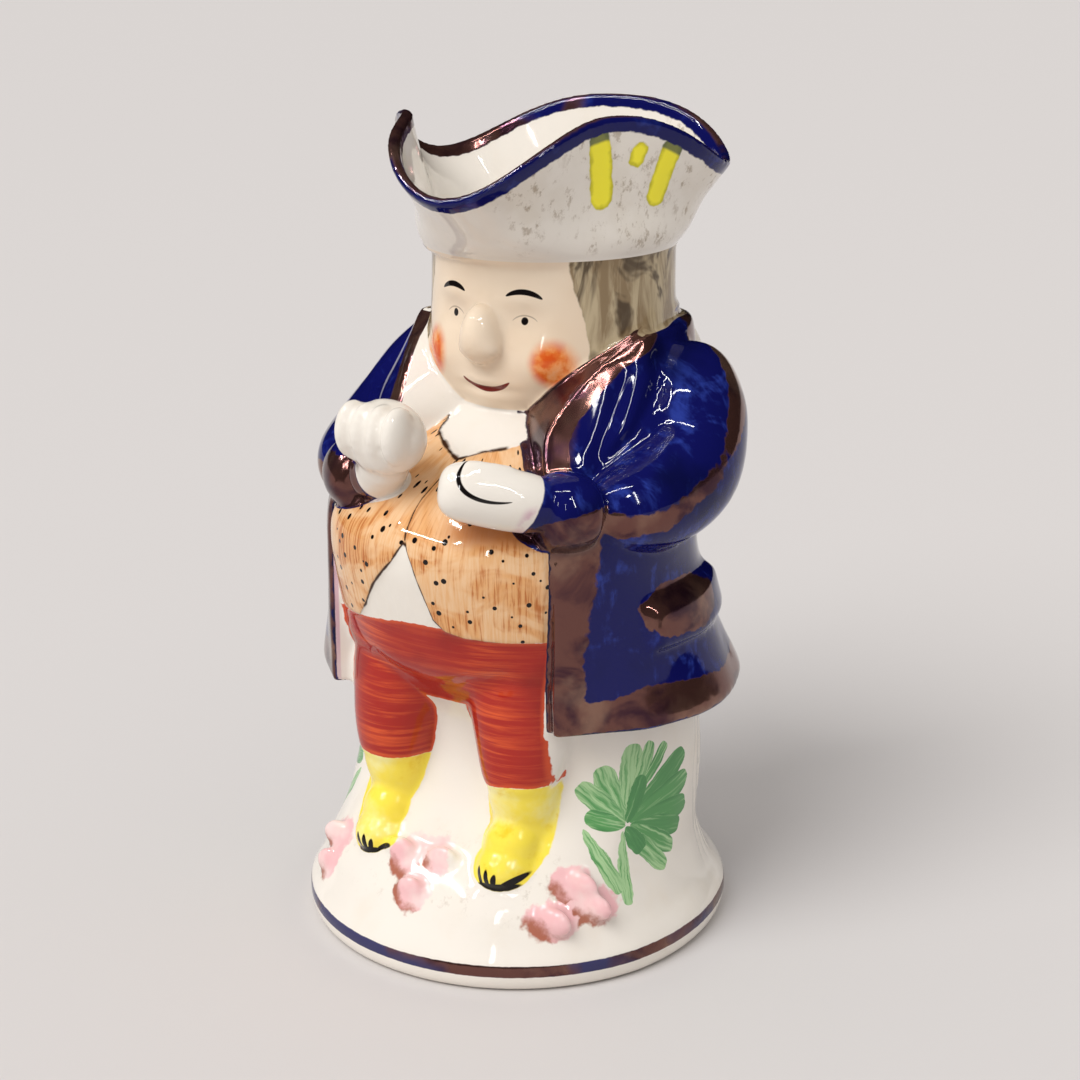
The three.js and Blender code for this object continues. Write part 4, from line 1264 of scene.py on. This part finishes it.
    def arcStroke(mark):
        middleX, middleZ, radius, degrees, halfDegrees, halfWidth = mark
        return grouped("arc", X=x, Z=z, Middle_X=middleX, Middle_Z=middleZ, Radius=radius,
                       Angle=math.radians(degrees), Half_Angle=math.radians(halfDegrees),
                       Half_Width=halfWidth)["Mask"]

    def dabOf(mark, softness):
        middleX, middleZ, degrees, halfLength, halfWidth = mark
        return grouped("dab", X=x, Z=z, Middle_X=middleX, Middle_Z=middleZ, Angle=math.radians(degrees),
                       Half_Length=halfLength, Half_Width=halfWidth, Softness=softness)["Mask"]

    thumb = product(tree, arcStroke(thumbMark), fade(tree, y, -50, -52), painted)
    colour = mix(tree, thumb, colour, paints["black"])

    # Face: a calm doll's face, peach with rosy cheeks
    head = product(tree, area("face", 0.2, 0.3), painted)
    headHeight = fade(tree, z, 157, 162)
    face = product(tree, head, headHeight)
    skinTint = mix(tree, fade(tree, broad, 0.4, 0.65, 0, 0.35), paints["face"], paints["faceShade"])
    colour = mix(tree, product(tree, face, 0.85), colour, skinTint)
    onFace = product(tree, face, atFront)
    for mark in cheekDabs:
        cheek = product(tree, dabOf(mark, 0.38), onFace)
        cheekTint = mix(tree, fade(tree, fine, 0.35, 0.62), paints["cheekPale"], paints["cheek"])
        colour = mix(tree, product(tree, cheek, fade(tree, fine, 0.2, 0.5, 0.7, 1)), colour, cheekTint)
    hair = product(tree, area("hair", 0.7, 0.35), head)
    strands = noise(210, (1, 1, 0.22), 4, 0.6, 0.5)
    locks = noise(70, (1, 1, 0.45), 3, 0.6, 1.6)
    hairTint = mix(tree, fade(tree, strands, 0.38, 0.62), paints["hair"], paints["hairPale"])
    hairTint = mix(tree, fade(tree, locks, 0.5, 0.62, 0, 0.88), hairTint, paints["hairDark"])
    colour = mix(tree, hair, colour, hairTint)
    for mark in (*browMarks, *lidMarks):
        isLid = mark in lidMarks
        colour = mix(tree, product(tree, arcStroke(mark), onFace, 0.45 if isLid else 1),
                     colour, paints["brownLine"] if isLid else paints["black"])
    for mark in eyeDots:
        colour = mix(tree, product(tree, dabOf(mark, 0.12), onFace), colour, paints["black"])
    colour = mix(tree, product(tree, arcStroke(mouthMark), onFace), colour, paints["lips"])

    # Hat: blue and lustre round the rim, dabs of yellow, and soiling in the hollows
    rimGap = attribute("rim")
    onHat = fade(tree, z, 208, 212)
    smudge = product(tree, onHat, fade(tree, mottle, 0.42, 0.7, 0, 0.3), fade(tree, x, 2, 16))
    colour = mix(tree, smudge, colour, paints["grimePale"])
    soil = product(tree, onHat, fade(tree, soilGrain, 0.52, 0.64, 0, 0.7),
                   fade(tree, mottle, 0.4, 0.56), fade(tree, x, 8, 18))
    colour = mix(tree, soil, colour, paints["grime"])
    plumeGap = attribute("plume")
    plume = product(tree, brushed(plumeGap, 0.7, 0.3), onHat)
    plumeEdge = fade(tree, plus(tree, plumeGap, swing(tree, fine, 3)), -1.6, 0.2)
    plumeTint = mix(tree, product(tree, plumeEdge, 0.75), paints["plume"], paints["plumeDeep"])
    plumeTint = mix(tree, fade(tree, rimGap, 6.2, 5.2, 0, 0.8), plumeTint, paints["plumeDark"])
    colour = mix(tree, plume, colour, plumeTint)
    rim = product(tree, brushed(minus(tree, rimGap, 3.7), 0.7, 0.25), onHat)
    rimBlue = mix(tree, fade(tree, middling, 0.55, 0.75, 0, 0.6), paints["cobalt"], paints["cobaltPale"])
    rimBlue = mix(tree, fade(tree, rimGap, 2.0, 0.8, 0, 0.7), rimBlue, paints["cobaltDark"])
    colour = mix(tree, rim, colour, rimBlue)
    crest = product(tree, fade(tree, rimGap, 1.5, 0.8), fade(tree, mottle, 0.38, 0.5))
    spout = product(tree, fade(tree, x, -12, -20), fade(tree, broad, 0.4, 0.5))
    rimLustre = product(tree, rim, larger(tree, crest, spout))
    lustre = larger(tree, lustre, rimLustre)
    colour = mix(tree, lustre, colour, lustreTint)

    # Bare clay where the foot stands
    bare = product(tree, fade(tree, z, 0.35, 0.15))
    colour = mix(tree, bare, colour, paints["bareClay"])

    tree.links.new(colour, shader.inputs["Base Color"])
    tree.links.new(product(tree, lustre, 0.75), shader.inputs["Metallic"])
    glazeRough = fade(tree, mottle, 0.3, 0.7, 0.04, 0.08)
    rough = blend(tree, lustre, glazeRough, fade(tree, patchy, 0.3, 0.7, 0.09, 0.2))
    tree.links.new(blend(tree, bare, rough, 0.8), shader.inputs["Roughness"])
    tree.links.new(blend(tree, bare, 0.12, 0.0), shader.inputs["Coat Weight"])
    shader.inputs["Coat Roughness"].default_value = 0.015
    shader.inputs["Specular IOR Level"].default_value = 0.2
    bump = tree.nodes.new("ShaderNodeBump")
    bump.inputs["Strength"].default_value = 0.5
    bump.inputs["Distance"].default_value = 0.0006
    ripples = product(tree, noise(60, detail=4, roughness=0.35), 0.9)
    tree.links.new(ripples, bump.inputs["Height"])
    tree.links.new(bump.outputs["Normal"], shader.inputs["Normal"])
    return material


jug.data.materials.clear()
jug.data.materials.append(paintedGlaze())
for polygon in jug.data.polygons:
    polygon.material_index = 0
print("glaze painted")

# Studio: a wide pale floor, soft light from above, and softboxes that show in the glaze
studio = {
    "floorReach": 9,
    "floorColour": (0.64, 0.61, 0.597),
    "worldColour": (1.0, 0.985, 0.97),
    "worldStrength": 0.62,
    "sun": {"azimuth": -12, "elevation": 50, "strength": 2.15, "angle": 40},
    "azimuth": 33,
    "elevation": 18,
    "distance": 0.64,
    "lens": 69.9,
    "target": (0, 0, 118.3),
    "targetSide": 7.11,
}
# Each light: direction from the front, height angle, distance, width, height, watts
softboxes = (
    (-38, 46, 0.9, 0.4, 0.018, 3.1),
    (-38, 68, 0.9, 0.4, 0.018, 3.1),
    (-66, 57, 0.9, 0.018, 0.32, 2.9),
    (-10, 57, 0.9, 0.018, 0.32, 2.9),
    (72, 40, 1.1, 0.022, 0.6, 3.2),
    (40, 74, 1.0, 0.5, 0.02, 2.8),
    (60, 50, 0.9, 0.07, 0.05, 1.1),
    (20, 30, 1.1, 0.03, 0.3, 1.5),
)


def around(azimuth, elevation, distance):  # a place round the jug, 0 in front and 90 on the figure's left
    turn = math.radians(azimuth)
    rise = math.radians(elevation)
    level = math.cos(rise) * distance
    return Vector((math.sin(turn) * level, -math.cos(turn) * level, math.sin(rise) * distance))


def aimed(item, place, target):
    item.location = place
    item.rotation_euler = (target - place).to_track_quat("-Z", "Y").to_euler()
    bpy.context.scene.collection.objects.link(item)


def floorMaterial():
    material = bpy.data.materials.new("studio_floor")
    material.use_nodes = True
    shader = material.node_tree.nodes["Principled BSDF"]
    shader.inputs["Base Color"].default_value = (*studio["floorColour"], 1)
    shader.inputs["Roughness"].default_value = 0.9
    shader.inputs["Specular IOR Level"].default_value = 0.1
    return material


floorShape = bmesh.new()
bmesh.ops.create_grid(floorShape, x_segments=1, y_segments=1, size=studio["floorReach"])
floorMesh = bpy.data.meshes.new("floor")
floorShape.to_mesh(floorMesh)
floorShape.free()
floor = bpy.data.objects.new("floor", floorMesh)
floor.data.materials.append(floorMaterial())
bpy.context.scene.collection.objects.link(floor)

world = bpy.data.worlds.new("studio")
world.use_nodes = True
world.node_tree.nodes["Background"].inputs["Color"].default_value = (*studio["worldColour"], 1)
world.node_tree.nodes["Background"].inputs["Strength"].default_value = studio["worldStrength"]
world.cycles_visibility.glossy = False  # the room beyond the lights is dark in the glaze
bpy.context.scene.world = world

viewTurn = math.radians(studio["azimuth"])
toTheRight = Vector((math.cos(viewTurn), math.sin(viewTurn), 0)) * studio["targetSide"]
target = (Vector(studio["target"]) + moundMiddle + toTheRight) * millimetre
for number, (azimuth, elevation, distance, width, height, watts) in enumerate(softboxes):
    data = bpy.data.lights.new("softbox" + str(number), "AREA")
    data.shape = "RECTANGLE"
    data.size = width
    data.size_y = height
    data.energy = watts
    softbox = bpy.data.objects.new(data.name, data)
    softbox.visible_diffuse = False  # the strips only make the sharp lights in the glaze
    aimed(softbox, target + around(azimuth, elevation, distance), target)

sunLight = bpy.data.lights.new("sun", "SUN")
sunLight.energy = studio["sun"]["strength"]
sunLight.angle = math.radians(studio["sun"]["angle"])
sunPlace = target + around(studio["sun"]["azimuth"], studio["sun"]["elevation"], 2)
sun = bpy.data.objects.new("sun", sunLight)
sun.visible_glossy = False  # only the strips of light show in the glaze
aimed(sun, sunPlace, target)

camera = bpy.data.objects.new("camera", bpy.data.cameras.new("camera"))
camera.data.lens = studio["lens"]
camera.data.clip_end = 50
aimed(camera, target + around(studio["azimuth"], studio["elevation"], studio["distance"]), target)
bpy.context.scene.camera = camera
bpy.context.scene.view_settings.view_transform = "Standard"
print("studio set")

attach(jug, "root")
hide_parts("jug")
